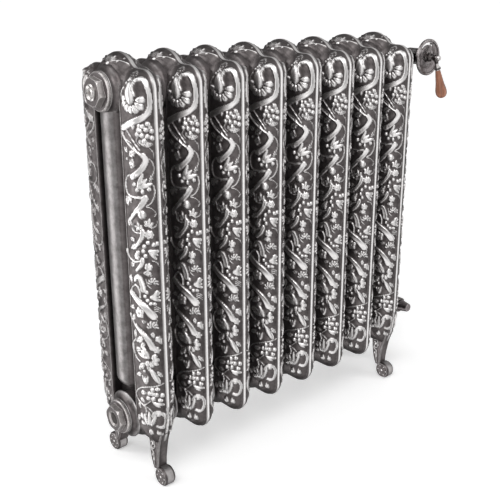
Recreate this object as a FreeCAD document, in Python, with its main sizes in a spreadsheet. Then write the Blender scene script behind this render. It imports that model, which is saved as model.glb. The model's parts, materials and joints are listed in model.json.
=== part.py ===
import FreeCAD, Part
import Sketcher
import math
import os

# An ornate cast-iron column radiator: eight hollow sections joined on threaded nipples, the two
# end sections with legs, a crank-operated valve at the top right and a lockshield valve at the
# bottom right.  Millimetres; +X runs along the stack to the valves, -Y is the front, +Z is up.
# The origin is on the floor under the middle of the whole object.

SIZES = {
    # the stack of sections
    "section_count": 8,
    "pitch": 91,                # from one section to the next
    "joint_gap": 0.8,           # gasket thickness between hub faces
    "mid_x": -62.55,            # the stack's middle, seen from the origin
    "hub_low": 124,             # height of the bottom waterway's axis
    "hub_high": 727,            # height of the top waterway's axis
    "hub_boss": 40,             # radius of the hub's boss
    "hub_face": 34,             # radius of the hub's machined face
    "boss_back": 5,             # from that face back to the boss
    "hub_end": 39,              # from an end section's middle to its outer hub face
    "hub_bore": 21,             # 1 1/4 inch parallel thread, as a plain bore
    "wall": 4.5,                # casting wall
    "chamber": 34,              # radius of the hollow behind each hub
    # outline of one section, seen along X
    "half_depth": 99,
    "crest_rise": 61,           # crest above the top hub's axis
    "crest_radius": 57.9,
    "crest_valley": 20,         # radius of the hollow between crest and shoulder
    "shoulder_drop": 22.5,      # from the crest's top to the shoulder
    "belly_rise": 51,           # the same four for the crest below the bottom hub
    "belly_radius": 51,
    "belly_valley": 10,
    "hem_drop": 12.5,
    "corner_radius": 30,
    "flank_half": 28,           # half the section's width
    "edge_land": 2.4,           # flat ridge that runs round the section's edge
    "web_half": 9,              # half the thickness of the web beside the tube
    "groove_reach": 39,         # from the middle to the ornamented flank
    "tube_half_x": 36,
    "tube_half_y": 36.5,
    "tube_low": 177,            # where the middle tube ends above the bottom hub
    # legs of the end sections
    "leg_thick": 22,
    "foot_radius": 18.5,
    "foot_y": 81,
    "foot_sink": 0.9,           # how much of the scroll is ground flat
    # end bushes
    "bush_flange": 33,
    "bush_flange_thick": 5,
    "bush_hex": 45,
    "bush_hex_long": 11.6,
    "top_bush_turn": 18,        # how far round the left bushes were tightened, degrees
    "low_bush_turn": 22,
    "bush_shank": 18,
    "thread_gap": 0.05,
    "nipple_long": 36,
    "tapping": 12.1,            # 3/4 inch parallel thread, as a plain bore
    "tapping_mouth": 14.6,
    "mouth_depth": 2.5,
    "gasket_inner": 24,
    "gasket_outer": 33.5,
    # air vent
    "vent_thread": 4,
    "vent_head": 14,            # a dished head, with a low boss round the screw
    "vent_dish": 1.8,
    "vent_head_long": 3.4,
    "vent_pin": 2.5,
    "vent_square": 5,
    "vent_square_long": 4.6,
    # unions and valve bodies
    "tail_radius": 13.5,
    "tail_bore": 9,
    "tail_thread": 12.05,
    "tail_collar": 15.3,
    "union_hex": 36,
    "union_long": 20,
    "branch_radius": 15.5,
    "branch_reach": 41,         # from the valve's axis to the union's face
    "body_radius": 18,
    "top_valve_x": 471,         # the valves' axes, seen from the stack's middle
    "low_valve_x": 449,
    "pipe_radius": 7.6,         # sliding hole for a 15 mm pipe
    "socket_from": 30,
    "socket_to": 44,
    "inlet_radius": 12,
    "inlet_hex": 27,
    "inlet_nut_from": 34,
    "inlet_nut_to": 52,
    "barrel_back": 24,          # where the barrel narrows to the pipe connection
    "seat": 15,                 # back of the hollow that holds the plug
    # throttle valve
    "plug_radius": 10,
    "plug_back": 14.5,
    "plug_front": -11.8,
    "port_radius": 6.5,
    "spindle": 4,
    "running_gap": 0.05,
    "bonnet_front": -22,
    "neck_front": -36,
    "neck_radius": 8,
    "gland_radius": 6.4,
    "dial_radius": 40,
    "dial_back": -27,
    "dial_face": -30.2,
    "dial_rim_front": -33.4,
    "dial_rim_inner": 35.3,
    "slot_radius": 29.5,
    "slot_width": 4.8,
    "slot_from": 57,            # degrees above the stack's +X direction
    "slot_to": 148,
    "pointer_angle": 77,
    "pointer_radius": 1.7,
    "lever_back": -45.5,
    "lever_front": -58,
    "lever_boss": 7,
    "handle_lean": 15,          # degrees from straight down towards +X
    "handle_out": 5,            # degrees from straight down towards the front
    "stub_end": 13,             # distances down the handle from the spindle
    "ferrule_end": 28,
    "grip_end": 93,
    "grip_radius": 12.6,
    "rod_radius": 2.4,
    # lockshield valve
    "low_body_front": -16,
    "low_bonnet_front": -22,
    "low_bonnet_radius": 10.5,
    "low_spindle_front": -33,
    "cap_back": -17,
    "cap_front": -40.5,
    "cap_base_radius": 13.6,
    "cap_end_radius": 10,
    "cap_cavity": 11.2,
}

doc = FreeCAD.newDocument("radiator")
sheet = doc.addObject("Spreadsheet::Sheet", "sizes")
for row, (alias, number) in enumerate(SIZES.items(), start=1):
    sheet.set("A%d" % row, alias)
    sheet.set("B%d" % row, str(number))
    sheet.setAlias("B%d" % row, alias)
doc.recompute()

X, Y, Z = FreeCAD.Vector(1, 0, 0), FreeCAD.Vector(0, 1, 0), FreeCAD.Vector(0, 0, 1)
parts = []


def value(formula):
    """The number that a formula over the sheet gives."""
    return float(sheet.evalExpression(str(formula)))


def keep(label, piece):
    """Name a finished sub-part."""
    piece.Label = label
    parts.append(piece)
    return piece


def place(piece, turn, x="0", y="0", z="0"):
    """Turn a piece and bind where it stands to the sheet."""
    piece.Placement = FreeCAD.Placement(FreeCAD.Vector(value(x), value(y), value(z)), turn)
    for axis, formula in zip("xyz", (x, y, z)):
        piece.setExpression("Placement.Base." + axis, str(formula))


def along(direction):
    """The turn that takes +Z to a direction."""
    return FreeCAD.Rotation(Z, direction)


def rod(name, direction, radius, length, x="0", y="0", z="0", sweep=None):
    piece = doc.addObject("Part::Cylinder", name)
    piece.setExpression("Radius", str(radius))
    piece.setExpression("Height", str(length))
    if sweep:
        piece.setExpression("Angle", sweep)
    place(piece, direction if isinstance(direction, FreeCAD.Rotation) else along(direction), x, y, z)
    return piece


def cone(name, direction, start_radius, end_radius, length, x="0", y="0", z="0"):
    piece = doc.addObject("Part::Cone", name)
    piece.setExpression("Radius1", str(start_radius))
    piece.setExpression("Radius2", str(end_radius))
    piece.setExpression("Height", str(length))
    place(piece, along(direction), x, y, z)
    return piece


def hexagon(name, direction, flats, length, x="0", y="0", z="0", turn=0):
    piece = doc.addObject("Part::Prism", name)
    piece.Polygon = 6
    piece.setExpression("Circumradius", "(%s) / sqrt(3)" % flats)
    piece.setExpression("Height", str(length))
    place(piece, along(direction) * FreeCAD.Rotation(Z, turn), x, y, z)
    return piece


def cut(name, base, tool):
    piece = doc.addObject("Part::Cut", name)
    piece.Base = base
    piece.Tool = tool
    return piece


def fuse(name, *pieces):
    piece = doc.addObject("Part::MultiFuse", name)
    piece.Shapes = list(pieces)
    return piece


def common(name, *pieces):
    piece = doc.addObject("Part::MultiCommon", name)
    piece.Shapes = list(pieces)
    return piece


def turned(name, corners, direction, x="0", y="0", z="0", copies=None, step=None):
    """A body turned about its own X axis, which is then laid along direction.

    corners are (distance along the axis, radius) formulas round half the section; every one is
    a constraint of the sketch, bound to the sheet.
    """
    body = doc.addObject("PartDesign::Body", name)
    sketch = body.newObject("Sketcher::SketchObject", name + "_profile")
    plane = [f for f in body.Origin.OriginFeatures if f.Role == "XY_Plane"][0]
    sketch.AttachmentSupport = [(plane, "")]
    sketch.MapMode = "FlatFace"
    points = [FreeCAD.Vector(value(a), value(r), 0) for a, r in corners]
    count = len(points)
    for i in range(count):
        sketch.addGeometry(Part.LineSegment(points[i], points[(i + 1) % count]), False)
    for i in range(count):
        sketch.addConstraint(Sketcher.Constraint("Coincident", i, 2, (i + 1) % count, 1))
    for i, (reach, radius) in enumerate(corners):
        for kind, number, formula in (("DistanceX", points[i].x, reach),
                                      ("DistanceY", points[i].y, radius)):
            if abs(number) < 1e-9:
                line = -2 if kind == "DistanceX" else -1
                sketch.addConstraint(Sketcher.Constraint("PointOnObject", i, 1, line))
            else:
                title = "%s%d" % (kind[-1].lower() + "_of_", i)
                index = sketch.addConstraint(
                    Sketcher.Constraint(kind, -1, 1, i, 1, number))
                sketch.renameConstraint(index, title)
                sketch.setExpression("Constraints." + title, str(formula))
    spin = body.newObject("PartDesign::Revolution", name + "_turned")
    spin.Profile = sketch
    spin.ReferenceAxis = (sketch, ["H_Axis"])
    spin.Angle = 360
    body.Tip = spin
    if copies:
        body.AllowCompound = True
        doc.recompute()
        row_of = body.newObject("PartDesign::LinearPattern", name + "_row")
        row_of.Originals = [spin]
        row_of.Direction = (sketch, ["H_Axis"])
        row_of.setExpression("Length", "(%s - 1) * %s" % (copies, step))
        row_of.setExpression("Occurrences", copies)
        body.Tip = row_of
    place(body, FreeCAD.Rotation(X, direction), x, y, z)
    return body


def ring(name, inner, outer, length, direction, x="0", y="0", z="0", copies=None, step=None):
    corners = [("0", inner), (length, inner), (length, outer), ("0", outer)]
    return turned(name, corners, direction, x, y, z, copies, step)


HEIGHTS = {"upper": "sizes.hub_high", "lower": "sizes.hub_low"}
STACK_END = "(sizes.section_count - 1) * sizes.pitch / 2 + sizes.hub_end"


# ---- the section castings ------------------------------------------------------------------

def outline(size):
    """The closed edge of one section in the YZ plane, made of tangent arcs and lines."""
    deep, corner = size["half_depth"], size["corner_radius"]
    slant = corner * (1 - math.sqrt(0.5))
    ends = []
    edges = []
    for up, extreme, radius, valley, shoulder in (
            (1, size["hub_high"] + size["crest_rise"], size["crest_radius"],
             size["crest_valley"], size["shoulder_drop"]),
            (-1, size["hub_low"] - size["belly_rise"], size["belly_radius"],
             size["belly_valley"], size["hem_drop"])):

        def at(y, below):
            return FreeCAD.Vector(0, y, extreme - up * below)

        # the hollow's arc touches the crest's circle and the shoulder's line
        centre = FreeCAD.Vector(0, math.sqrt((radius + valley) ** 2 - (radius + valley - shoulder) ** 2),
                                shoulder - valley)
        to_crest = (FreeCAD.Vector(0, 0, radius) - centre).normalize()
        middle = centre + (to_crest + Z).normalize() * valley
        touch = centre + to_crest * valley
        edges.append(Part.Arc(at(-touch.y, touch.z), at(0, 0), at(touch.y, touch.z)).toShape())
        for side in (1, -1):
            edges.append(Part.Arc(at(side * touch.y, touch.z), at(side * middle.y, middle.z),
                                  at(side * centre.y, shoulder)).toShape())
            edges.append(Part.makeLine(at(side * centre.y, shoulder),
                                       at(side * (deep - corner), shoulder)))
            edges.append(Part.Arc(at(side * (deep - corner), shoulder),
                                  at(side * (deep - slant), shoulder + slant),
                                  at(side * deep, shoulder + corner)).toShape())
        ends.append([at(side * deep, shoulder + corner) for side in (1, -1)])
    for top, bottom in zip(*ends):
        edges.append(Part.makeLine(top, bottom))
    return Part.Wire(Part.__sortEdges__(edges))


def slab(wire, half):
    """A flat plate of an outline in the YZ plane, centred on x = 0."""
    moved = wire.copy()
    moved.translate(X * -half)
    return Part.Face(moved).extrude(X * 2 * half)


def rounded_plate(size):
    """The casting's body: a plate whose edge swells from a narrow ridge to the full width."""
    half, land = size["flank_half"], size["edge_land"]
    plate = slab(outline(size), half)
    rim = []
    for edge in plate.Edges:
        box = edge.BoundBox
        if box.XLength < 1e-6 and abs(abs(box.XMin) - half) < 1e-6:
            rim.append(edge)
    return plate.makeFillet(half - land / 2, rim)


def upright(half_x, half_y, low, high, y=0.0):
    """An elliptical column."""
    long_first = half_x >= half_y
    ellipse = Part.Ellipse(FreeCAD.Vector(0, 0, 0), max(half_x, half_y), min(half_x, half_y))
    column = Part.Face(Part.Wire(ellipse.toShape())).extrude(Z * (high - low))
    if not long_first:
        column.rotate(FreeCAD.Vector(), Z, 90)
    column.translate(FreeCAD.Vector(0, y, low))
    return column


def stadium(half_y, low, high, start, reach):
    """A slot with round ends, cut along X from start."""
    box = Part.makeBox(reach, 2 * half_y, high - low - 2 * half_y,
                       FreeCAD.Vector(start, -half_y, low + half_y))
    for centre in (low + half_y, high - half_y):
        box = box.fuse(Part.makeCylinder(half_y, reach, FreeCAD.Vector(start, 0, centre), X))
    return box


def waterways(size):
    """The hollow core: two hub bores, two headers, the middle tube and the two flanks."""
    low, high, wall = size["hub_low"], size["hub_high"], size["wall"]
    chamber_half = size["flank_half"] - wall / 2
    core = upright(size["tube_half_x"] - wall, size["tube_half_y"] - wall, low, high)
    for height in (low, high):
        core = core.fuse(Part.makeCylinder(size["hub_bore"], 2 * size["pitch"],
                                           FreeCAD.Vector(-size["pitch"], 0, height), X))
        core = core.fuse(Part.makeCylinder(size["chamber"], 2 * chamber_half,
                                           FreeCAD.Vector(-chamber_half, 0, height), X))
        reach = size["half_depth"] - 4 * wall
        core = core.fuse(Part.makeCylinder(2.6 * wall, 2 * reach,
                                           FreeCAD.Vector(0, -reach, height), Y))
    inner = size["groove_reach"] + wall
    nose = size["half_depth"] - wall
    for side in (1, -1):
        flank = upright(size["flank_half"] - wall, nose - inner - 14,
                        low - 2 * wall, high + 2 * wall, side * (inner + 14))
        window = Part.makeBox(size["pitch"], nose, high - low + 4 * wall,
                              FreeCAD.Vector(-size["pitch"] / 2, inner if side > 0 else -inner - nose,
                                             low - 2 * wall))
        core = core.fuse(flank.common(window))
    return core


def leg(size, side):
    """A cabriole leg that ends in a scroll foot, front (-1) or rear (1)."""
    thick, radius = size["leg_thick"], size["foot_radius"]
    centre_z = radius - size["foot_sink"]

    def at(y, z):
        return FreeCAD.Vector(-thick / 2, side * y, z)

    inner = Part.BSplineCurve()
    inner.interpolate([at(41, 115), at(46, 96), at(50, 60), at(55.5, 38), at(64, 22)])
    outer = Part.BSplineCurve()
    outer.interpolate([at(74, 28), at(74, 40), at(76, 58), at(83, 92), at(94, 122)])
    shank = Part.Face(Part.Wire([inner.toShape(),
                                 Part.makeLine(inner.EndPoint, outer.StartPoint),
                                 outer.toShape(),
                                 Part.makeLine(outer.EndPoint, inner.StartPoint)]))
    shank = shank.extrude(X * thick)
    foot = Part.makeCylinder(radius, thick, at(size["foot_y"], centre_z), X)
    leg_shape = shank.fuse(foot)
    ground = Part.makeBox(400, 400, 100, FreeCAD.Vector(-200, -200, -100))
    return leg_shape.cut(ground)


def section(size, outer):
    """One casting; outer is -1 or 1 for the end sections, which have legs, and 0 between them."""
    half_gap = size["pitch"] / 2 - size["joint_gap"] / 2
    left, right = (size["hub_end"] if outer == side else half_gap for side in (-1, 1))
    casting = rounded_plate(size)
    groove_low = size["hub_low"] + size["hub_boss"] - 8
    groove_high = size["hub_high"] - size["hub_boss"] + 8
    for start in (size["web_half"], -size["web_half"] - size["flank_half"]):
        casting = casting.cut(stadium(size["groove_reach"], groove_low, groove_high,
                                      start, size["flank_half"]))
    casting = casting.fuse(upright(size["tube_half_x"], size["tube_half_y"],
                                   size["tube_low"], size["hub_high"]))
    for height in (size["hub_low"], size["hub_high"]):
        for radius, back in ((size["hub_boss"], size["boss_back"]), (size["hub_face"], 0)):
            casting = casting.fuse(Part.makeCylinder(radius, left + right - 2 * back,
                                                     FreeCAD.Vector(back - left, 0, height), X))
    if outer:
        casting = casting.fuse([leg(size, -1), leg(size, 1)])
    return casting.cut(waterways(size)).removeSplitter()


def build_sections():
    size = {alias: value("sizes." + alias) for alias in SIZES}
    count = int(size["section_count"])
    castings = {1: section(size, -1), count: section(size, 1)}
    middle_casting = section(size, 0)
    for number in range(1, count + 1):
        piece = doc.addObject("Part::Feature", "section_%d" % number)
        piece.Shape = castings.get(number, middle_casting).copy()
        place(piece, FreeCAD.Rotation(),
              "sizes.mid_x + (%d - (sizes.section_count + 1) / 2) * sizes.pitch" % number)
        keep("section_%d" % number, piece)


# ---- what joins and closes the stack -------------------------------------------------------

def build_joints():
    first = "sizes.mid_x - (sizes.section_count / 2 - 1) * sizes.pitch"
    for level, height in HEIGHTS.items():
        shape = ring(level + "_nipple", "sizes.hub_bore - sizes.wall",
                     "sizes.hub_bore - sizes.thread_gap", "sizes.nipple_long", X,
                     first + " - sizes.nipple_long / 2", "0", height,
                     "sizes.section_count - 1", "sizes.pitch")
        keep(level + "_nipples", shape)
        seal = ring(level + "_seal", "sizes.gasket_inner", "sizes.gasket_outer", "sizes.joint_gap",
                    X, first + " - sizes.joint_gap / 2", "0", height,
                    "sizes.section_count - 1", "sizes.pitch")
        keep(level + "_section_gaskets", seal)


def bush(label, side, height, bore, mouth, turn=0):
    """A hexagon bush that screws into an end hub: side is -1 for the left end, 1 for the right."""
    direction = X * side
    face = "sizes.mid_x + %d * (%s + sizes.joint_gap)" % (side, STACK_END)
    core = turned(label + "_core", [
        ("0", bore),
        ("sizes.bush_shank + sizes.bush_flange_thick + 1", bore),
        ("sizes.bush_shank + sizes.bush_flange_thick + 1", "sizes.bush_hex / 2 - 3"),
        ("sizes.bush_shank + sizes.bush_flange_thick", "sizes.bush_flange - 1.5"),
        ("sizes.bush_shank + sizes.bush_flange_thick - 1.5", "sizes.bush_flange"),
        ("sizes.bush_shank", "sizes.bush_flange"),
        ("sizes.bush_shank", "sizes.hub_bore - sizes.thread_gap"),
        ("0", "sizes.hub_bore - sizes.thread_gap"),
    ], direction, "%s - %d * sizes.bush_shank" % (face, side), "0", height)
    head_from = "%s + %d * (sizes.bush_flange_thick - 0.5)" % (face, side)
    head = common(label + "_head",
                  hexagon(label + "_hex", direction, "sizes.bush_hex", "sizes.bush_hex_long + 0.5",
                          head_from, "0", height, turn),
                  cone(label + "_chamfer", direction, "sizes.bush_hex / sqrt(3) + 6",
                       "sizes.bush_hex / 2 + 1", "sizes.bush_hex_long + 0.5",
                       head_from, "0", height))
    hole = rod(label + "_hole", direction, bore, "sizes.bush_hex_long + 2", head_from, "0", height)
    solid = cut(label + "_bored", fuse(label + "_blank", core, head), hole)
    if mouth:
        flare = cone(label + "_mouth", direction, bore, mouth, "sizes.mouth_depth",
                     "%s + %d * (sizes.bush_flange_thick + sizes.bush_hex_long - sizes.mouth_depth)"
                     % (face, side), "0", height)
        solid = cut(label + "_open", solid, flare)
    keep(label, solid)
    seal = ring(label + "_gasket", "sizes.gasket_inner", "sizes.bush_flange - 1",
                "sizes.joint_gap", direction,
                "%s - %d * sizes.joint_gap" % (face, side), "0", height)
    keep(label + "_gasket", seal)


def build_bushes():
    bush("top_left_bush", -1, "sizes.hub_high", "sizes.vent_thread + sizes.thread_gap", None,
         value("sizes.top_bush_turn"))
    bush("bottom_left_bush", -1, "sizes.hub_low", "sizes.tapping", "sizes.tapping_mouth",
         value("sizes.low_bush_turn"))
    bush("top_right_bush", 1, "sizes.hub_high", "sizes.tapping", None)
    bush("bottom_right_bush", 1, "sizes.hub_low", "sizes.tapping", None)


BUSH_END = "(%s + sizes.joint_gap + sizes.bush_flange_thick + sizes.bush_hex_long)" % STACK_END


def build_air_vent():
    outside = "sizes.mid_x - " + BUSH_END
    body = turned("vent_core", [
        ("0", "sizes.vent_pin"),
        ("22 + sizes.vent_head_long", "sizes.vent_pin"),
        ("22 + sizes.vent_head_long", "sizes.vent_pin + 2.4"),
        ("22 + sizes.vent_head_long - sizes.vent_dish", "sizes.vent_pin + 4"),
        ("22 + sizes.vent_head_long - sizes.vent_dish", "sizes.vent_head - 6"),
        ("22 + sizes.vent_head_long", "sizes.vent_head - 2"),
        ("22 + sizes.vent_head_long - 1.2", "sizes.vent_head"),
        ("22", "sizes.vent_head"),
        ("22", "sizes.vent_thread"),
        ("0", "sizes.vent_thread"),
    ], -X, outside + " + 22", "0", "sizes.hub_high")
    keep("air_vent_body", body)
    stem = rod("vent_stem", -X, "sizes.vent_pin - sizes.running_gap", "20 + sizes.vent_head_long",
               outside + " + 20", "0", "sizes.hub_high")
    key = doc.addObject("Part::Box", "vent_key")
    key.setExpression("Length", "sizes.vent_square_long")
    key.setExpression("Width", "sizes.vent_square")
    key.setExpression("Height", "sizes.vent_square")
    place(key, FreeCAD.Rotation(), outside + " - sizes.vent_head_long - sizes.vent_square_long - 0.4",
          "-sizes.vent_square / 2", "sizes.hub_high - sizes.vent_square / 2")
    neck = rod("vent_neck", -X, "sizes.vent_pin - sizes.running_gap", "1",
               outside + " - sizes.vent_head_long + 0.3", "0", "sizes.hub_high")
    keep("air_vent_screw", fuse("vent_screw_solid", stem, neck, key))


# ---- unions, valve bodies and pipe connections ---------------------------------------------

def hex_nut(label, direction, flats, length, corners, x, y, z):
    """A chamfered hexagon with a stepped hole; corners give the hole's (distance, radius)."""
    blank = hexagon(label + "_hex", direction, flats, length, x, y, z)
    round_off = turned(label + "_round", [
        ("0", "0"), ("0", "(%s) / 2" % flats), ("1.4", "(%s) / sqrt(3)" % flats),
        ("(%s) - 1.4" % length, "(%s) / sqrt(3)" % flats), (length, "(%s) / 2" % flats),
        (length, "0")], direction, x, y, z)
    hole = turned(label + "_hole", corners, direction, x, y, z)
    return keep(label, cut(label + "_nut", common(label + "_blank", blank, round_off), hole))


def union(prefix, valve_x, height):
    """The tail that screws into the bush, and the nut that draws it to the valve."""
    start = "sizes.mid_x + " + BUSH_END
    end = "(%s - sizes.branch_reach)" % valve_x
    tail_long = "(%s - %s + 30)" % (end, BUSH_END)
    tail = turned(prefix + "_tail_core", [
        ("0", "sizes.tail_bore"),
        (tail_long, "sizes.tail_bore"),
        (tail_long, "sizes.tail_collar"),
        (tail_long + " - 5", "sizes.tail_collar"),
        (tail_long + " - 5", "sizes.tail_radius"),
        ("30.1", "sizes.tail_radius"),
        ("30.1", "sizes.tail_thread"),
        ("0", "sizes.tail_thread"),
    ], X, start + " - 30", "0", height)
    keep(prefix + "_valve_tail", tail)
    hex_nut(prefix + "_union_nut", X, "sizes.union_hex", "sizes.union_long", [
        ("-1", "0"), ("-1", "sizes.tail_radius + 0.1"), ("3.6", "sizes.tail_radius + 0.1"),
        ("3.6", "sizes.branch_radius + sizes.thread_gap"),
        ("sizes.union_long + 1", "sizes.branch_radius + sizes.thread_gap"),
        ("sizes.union_long + 1", "0")],
        "sizes.mid_x + %s - 8.8" % end, "0", height)


def valve_body(prefix, valve_x, height, front, cavity_front):
    """An angle valve's body: a barrel along Y with its branch to the union along -X."""
    x = "sizes.mid_x + " + valve_x
    barrel = turned(prefix + "_barrel", [
        ("0", "0"), ("0", "sizes.body_radius - 1.5"), ("1.5", "sizes.body_radius"),
        ("sizes.barrel_back - (%s) - 2" % front, "sizes.body_radius"),
        ("sizes.barrel_back - (%s)" % front, "sizes.inlet_radius"),
        ("sizes.socket_to - (%s)" % front, "sizes.inlet_radius"),
        ("sizes.socket_to - (%s)" % front, "0")], Y, x, front, height)
    branch = rod(prefix + "_branch", -X, "sizes.branch_radius", "sizes.branch_reach", x, "0", height)
    cavity = turned(prefix + "_cavity", [
        ("0", "0"), ("0", "sizes.plug_radius"),
        ("sizes.seat - (%s)" % cavity_front, "sizes.plug_radius"),
        ("sizes.seat - (%s)" % cavity_front, "sizes.port_radius"),
        ("sizes.socket_from - (%s)" % cavity_front, "sizes.port_radius"),
        ("sizes.socket_from - (%s)" % cavity_front, "sizes.pipe_radius"),
        ("sizes.socket_to + 1 - (%s)" % cavity_front, "sizes.pipe_radius"),
        ("sizes.socket_to + 1 - (%s)" % cavity_front, "0")], Y, x, cavity_front, height)
    port = rod(prefix + "_port", -X, "sizes.port_radius", "sizes.branch_reach + 1", x, "0", height)
    keep(prefix + "_valve_body",
         cut(prefix + "_valve_casting", fuse(prefix + "_blank", barrel, branch),
             fuse(prefix + "_core", cavity, port)))


def pipe_connection(prefix, valve_x, height):
    x = "sizes.mid_x + " + valve_x
    olive = turned(prefix + "_olive_core", [
        ("0", "sizes.pipe_radius"), ("2.6", "sizes.pipe_radius"), ("2.6", "sizes.pipe_radius + 0.8"),
        ("1.3", "sizes.pipe_radius + 1.8"), ("0", "sizes.pipe_radius + 0.8")],
        Y, x, "sizes.socket_to + 0.1", height)
    keep(prefix + "_olive", olive)
    nut_long = "(sizes.inlet_nut_to - sizes.inlet_nut_from)"
    step = "(sizes.socket_to + 2.8 - sizes.inlet_nut_from)"
    hex_nut(prefix + "_compression_nut", Y, "sizes.inlet_hex", nut_long, [
        ("-1", "0"), ("-1", "sizes.inlet_radius + sizes.thread_gap"),
        (step, "sizes.inlet_radius + sizes.thread_gap"), (step, "sizes.pipe_radius + 0.2"),
        (nut_long + " + 1", "sizes.pipe_radius + 0.2"), (nut_long + " + 1", "0")],
        x, "sizes.inlet_nut_from", height)


# ---- the crank valve at the top ------------------------------------------------------------

TOP_X = "sizes.mid_x + sizes.top_valve_x"


def build_throttle():
    height = "sizes.hub_high"
    plug = cut("plug_bored",
               rod("plug_blank", Y, "sizes.plug_radius - sizes.running_gap",
                   "sizes.plug_back - sizes.plug_front", TOP_X, "sizes.plug_front", height),
               fuse("plug_ways",
                    rod("plug_side_way", -X, "sizes.port_radius", "sizes.plug_radius + 1",
                        TOP_X, "0", height),
                    rod("plug_end_way", Y, "sizes.port_radius", "sizes.plug_back + 1",
                        TOP_X, "0", height),
                    rod("plug_socket", Y, "sizes.spindle", "5", TOP_X, "sizes.plug_front - 1",
                        height)))
    keep("throttle_plug", plug)
    keep("throttle_spindle", rod("spindle_rod", -Y, "sizes.spindle - sizes.running_gap",
                                 "-8.2 - sizes.lever_front", TOP_X, "-8.2", height))
    keep("top_valve_bonnet", turned("bonnet_core", [
        ("0", "sizes.spindle"), ("18", "sizes.spindle"), ("18", "sizes.gland_radius + 0.1"),
        ("24", "sizes.gland_radius + 0.1"), ("24", "sizes.neck_radius"),
        ("14.9", "sizes.neck_radius"), ("14.9", "sizes.neck_radius + 3"),
        ("10", "sizes.neck_radius + 3"), ("9", "sizes.body_radius - 1.5"),
        ("4.1", "sizes.body_radius - 1.5"), ("4.1", "sizes.plug_radius - 0.1"),
        ("0", "sizes.plug_radius - 0.1")], -Y, TOP_X, "-12", height))
    keep("gland_packing", ring("packing_core", "sizes.spindle", "sizes.gland_radius", "2.8", -Y,
                               TOP_X, "-30.1", height))
    hex_nut("dial_locknut", -Y, "22", "3.4", [
        ("-1", "0"), ("-1", "sizes.neck_radius + sizes.thread_gap"),
        ("4", "sizes.neck_radius + sizes.thread_gap"), ("4", "0")],
        TOP_X, "sizes.dial_face - 0.1", height)
    gland = turned("gland_core", [
        ("0", "sizes.spindle"), ("9", "sizes.spindle"), ("9", "sizes.spindle + 2.5"),
        ("6.5", "sizes.spindle + 5"), ("3.2", "sizes.spindle + 5"), ("3.2", "sizes.gland_radius"),
        ("0", "sizes.gland_radius")], -Y, TOP_X, "-33", height)
    keep("gland_nut", gland)


def build_dial():
    height = "sizes.hub_high"
    plate = turned("dial_core", [
        ("0", "sizes.neck_radius + sizes.thread_gap"),
        ("sizes.dial_back - sizes.dial_face", "sizes.neck_radius + sizes.thread_gap"),
        ("sizes.dial_back - sizes.dial_face", "sizes.dial_rim_inner - 1.5"),
        ("sizes.dial_back - sizes.dial_rim_front", "sizes.dial_rim_inner"),
        ("sizes.dial_back - sizes.dial_rim_front", "sizes.dial_radius - 1.2"),
        ("sizes.dial_back - sizes.dial_rim_front - 1.2", "sizes.dial_radius"),
        ("0.8", "sizes.dial_radius"), ("0", "sizes.dial_radius - 0.8")],
        -Y, TOP_X, "sizes.dial_back", height)
    start_turn = FreeCAD.Rotation(Y, -value("sizes.slot_from")) * FreeCAD.Rotation(X, 90)
    sector = []
    for name, sign in (("slot_outer", "+"), ("slot_inner", "-")):
        sector.append(rod(name, start_turn, "sizes.slot_radius %s sizes.slot_width / 2" % sign, "12",
                          TOP_X, "sizes.dial_back + 2", height, "sizes.slot_to - sizes.slot_from"))
    keep("dial_plate", cut("dial_slotted", plate, cut("slot_tool", *sector)))


def handle_direction():
    lean, out = (math.radians(value("sizes." + a)) for a in ("handle_lean", "handle_out"))
    down = FreeCAD.Vector(math.tan(lean), -math.tan(out), -1)
    return down.normalize()


def on_handle(distance):
    """The placement formulas of a point down the handle from the lever's boss."""
    way = handle_direction()
    start = ("(%s)" % TOP_X, "(sizes.lever_back + sizes.lever_front) / 2", "sizes.hub_high")
    return ["%s + (%s) * (%.9f)" % (base, distance, step) for base, step in zip(start, way)]


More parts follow.
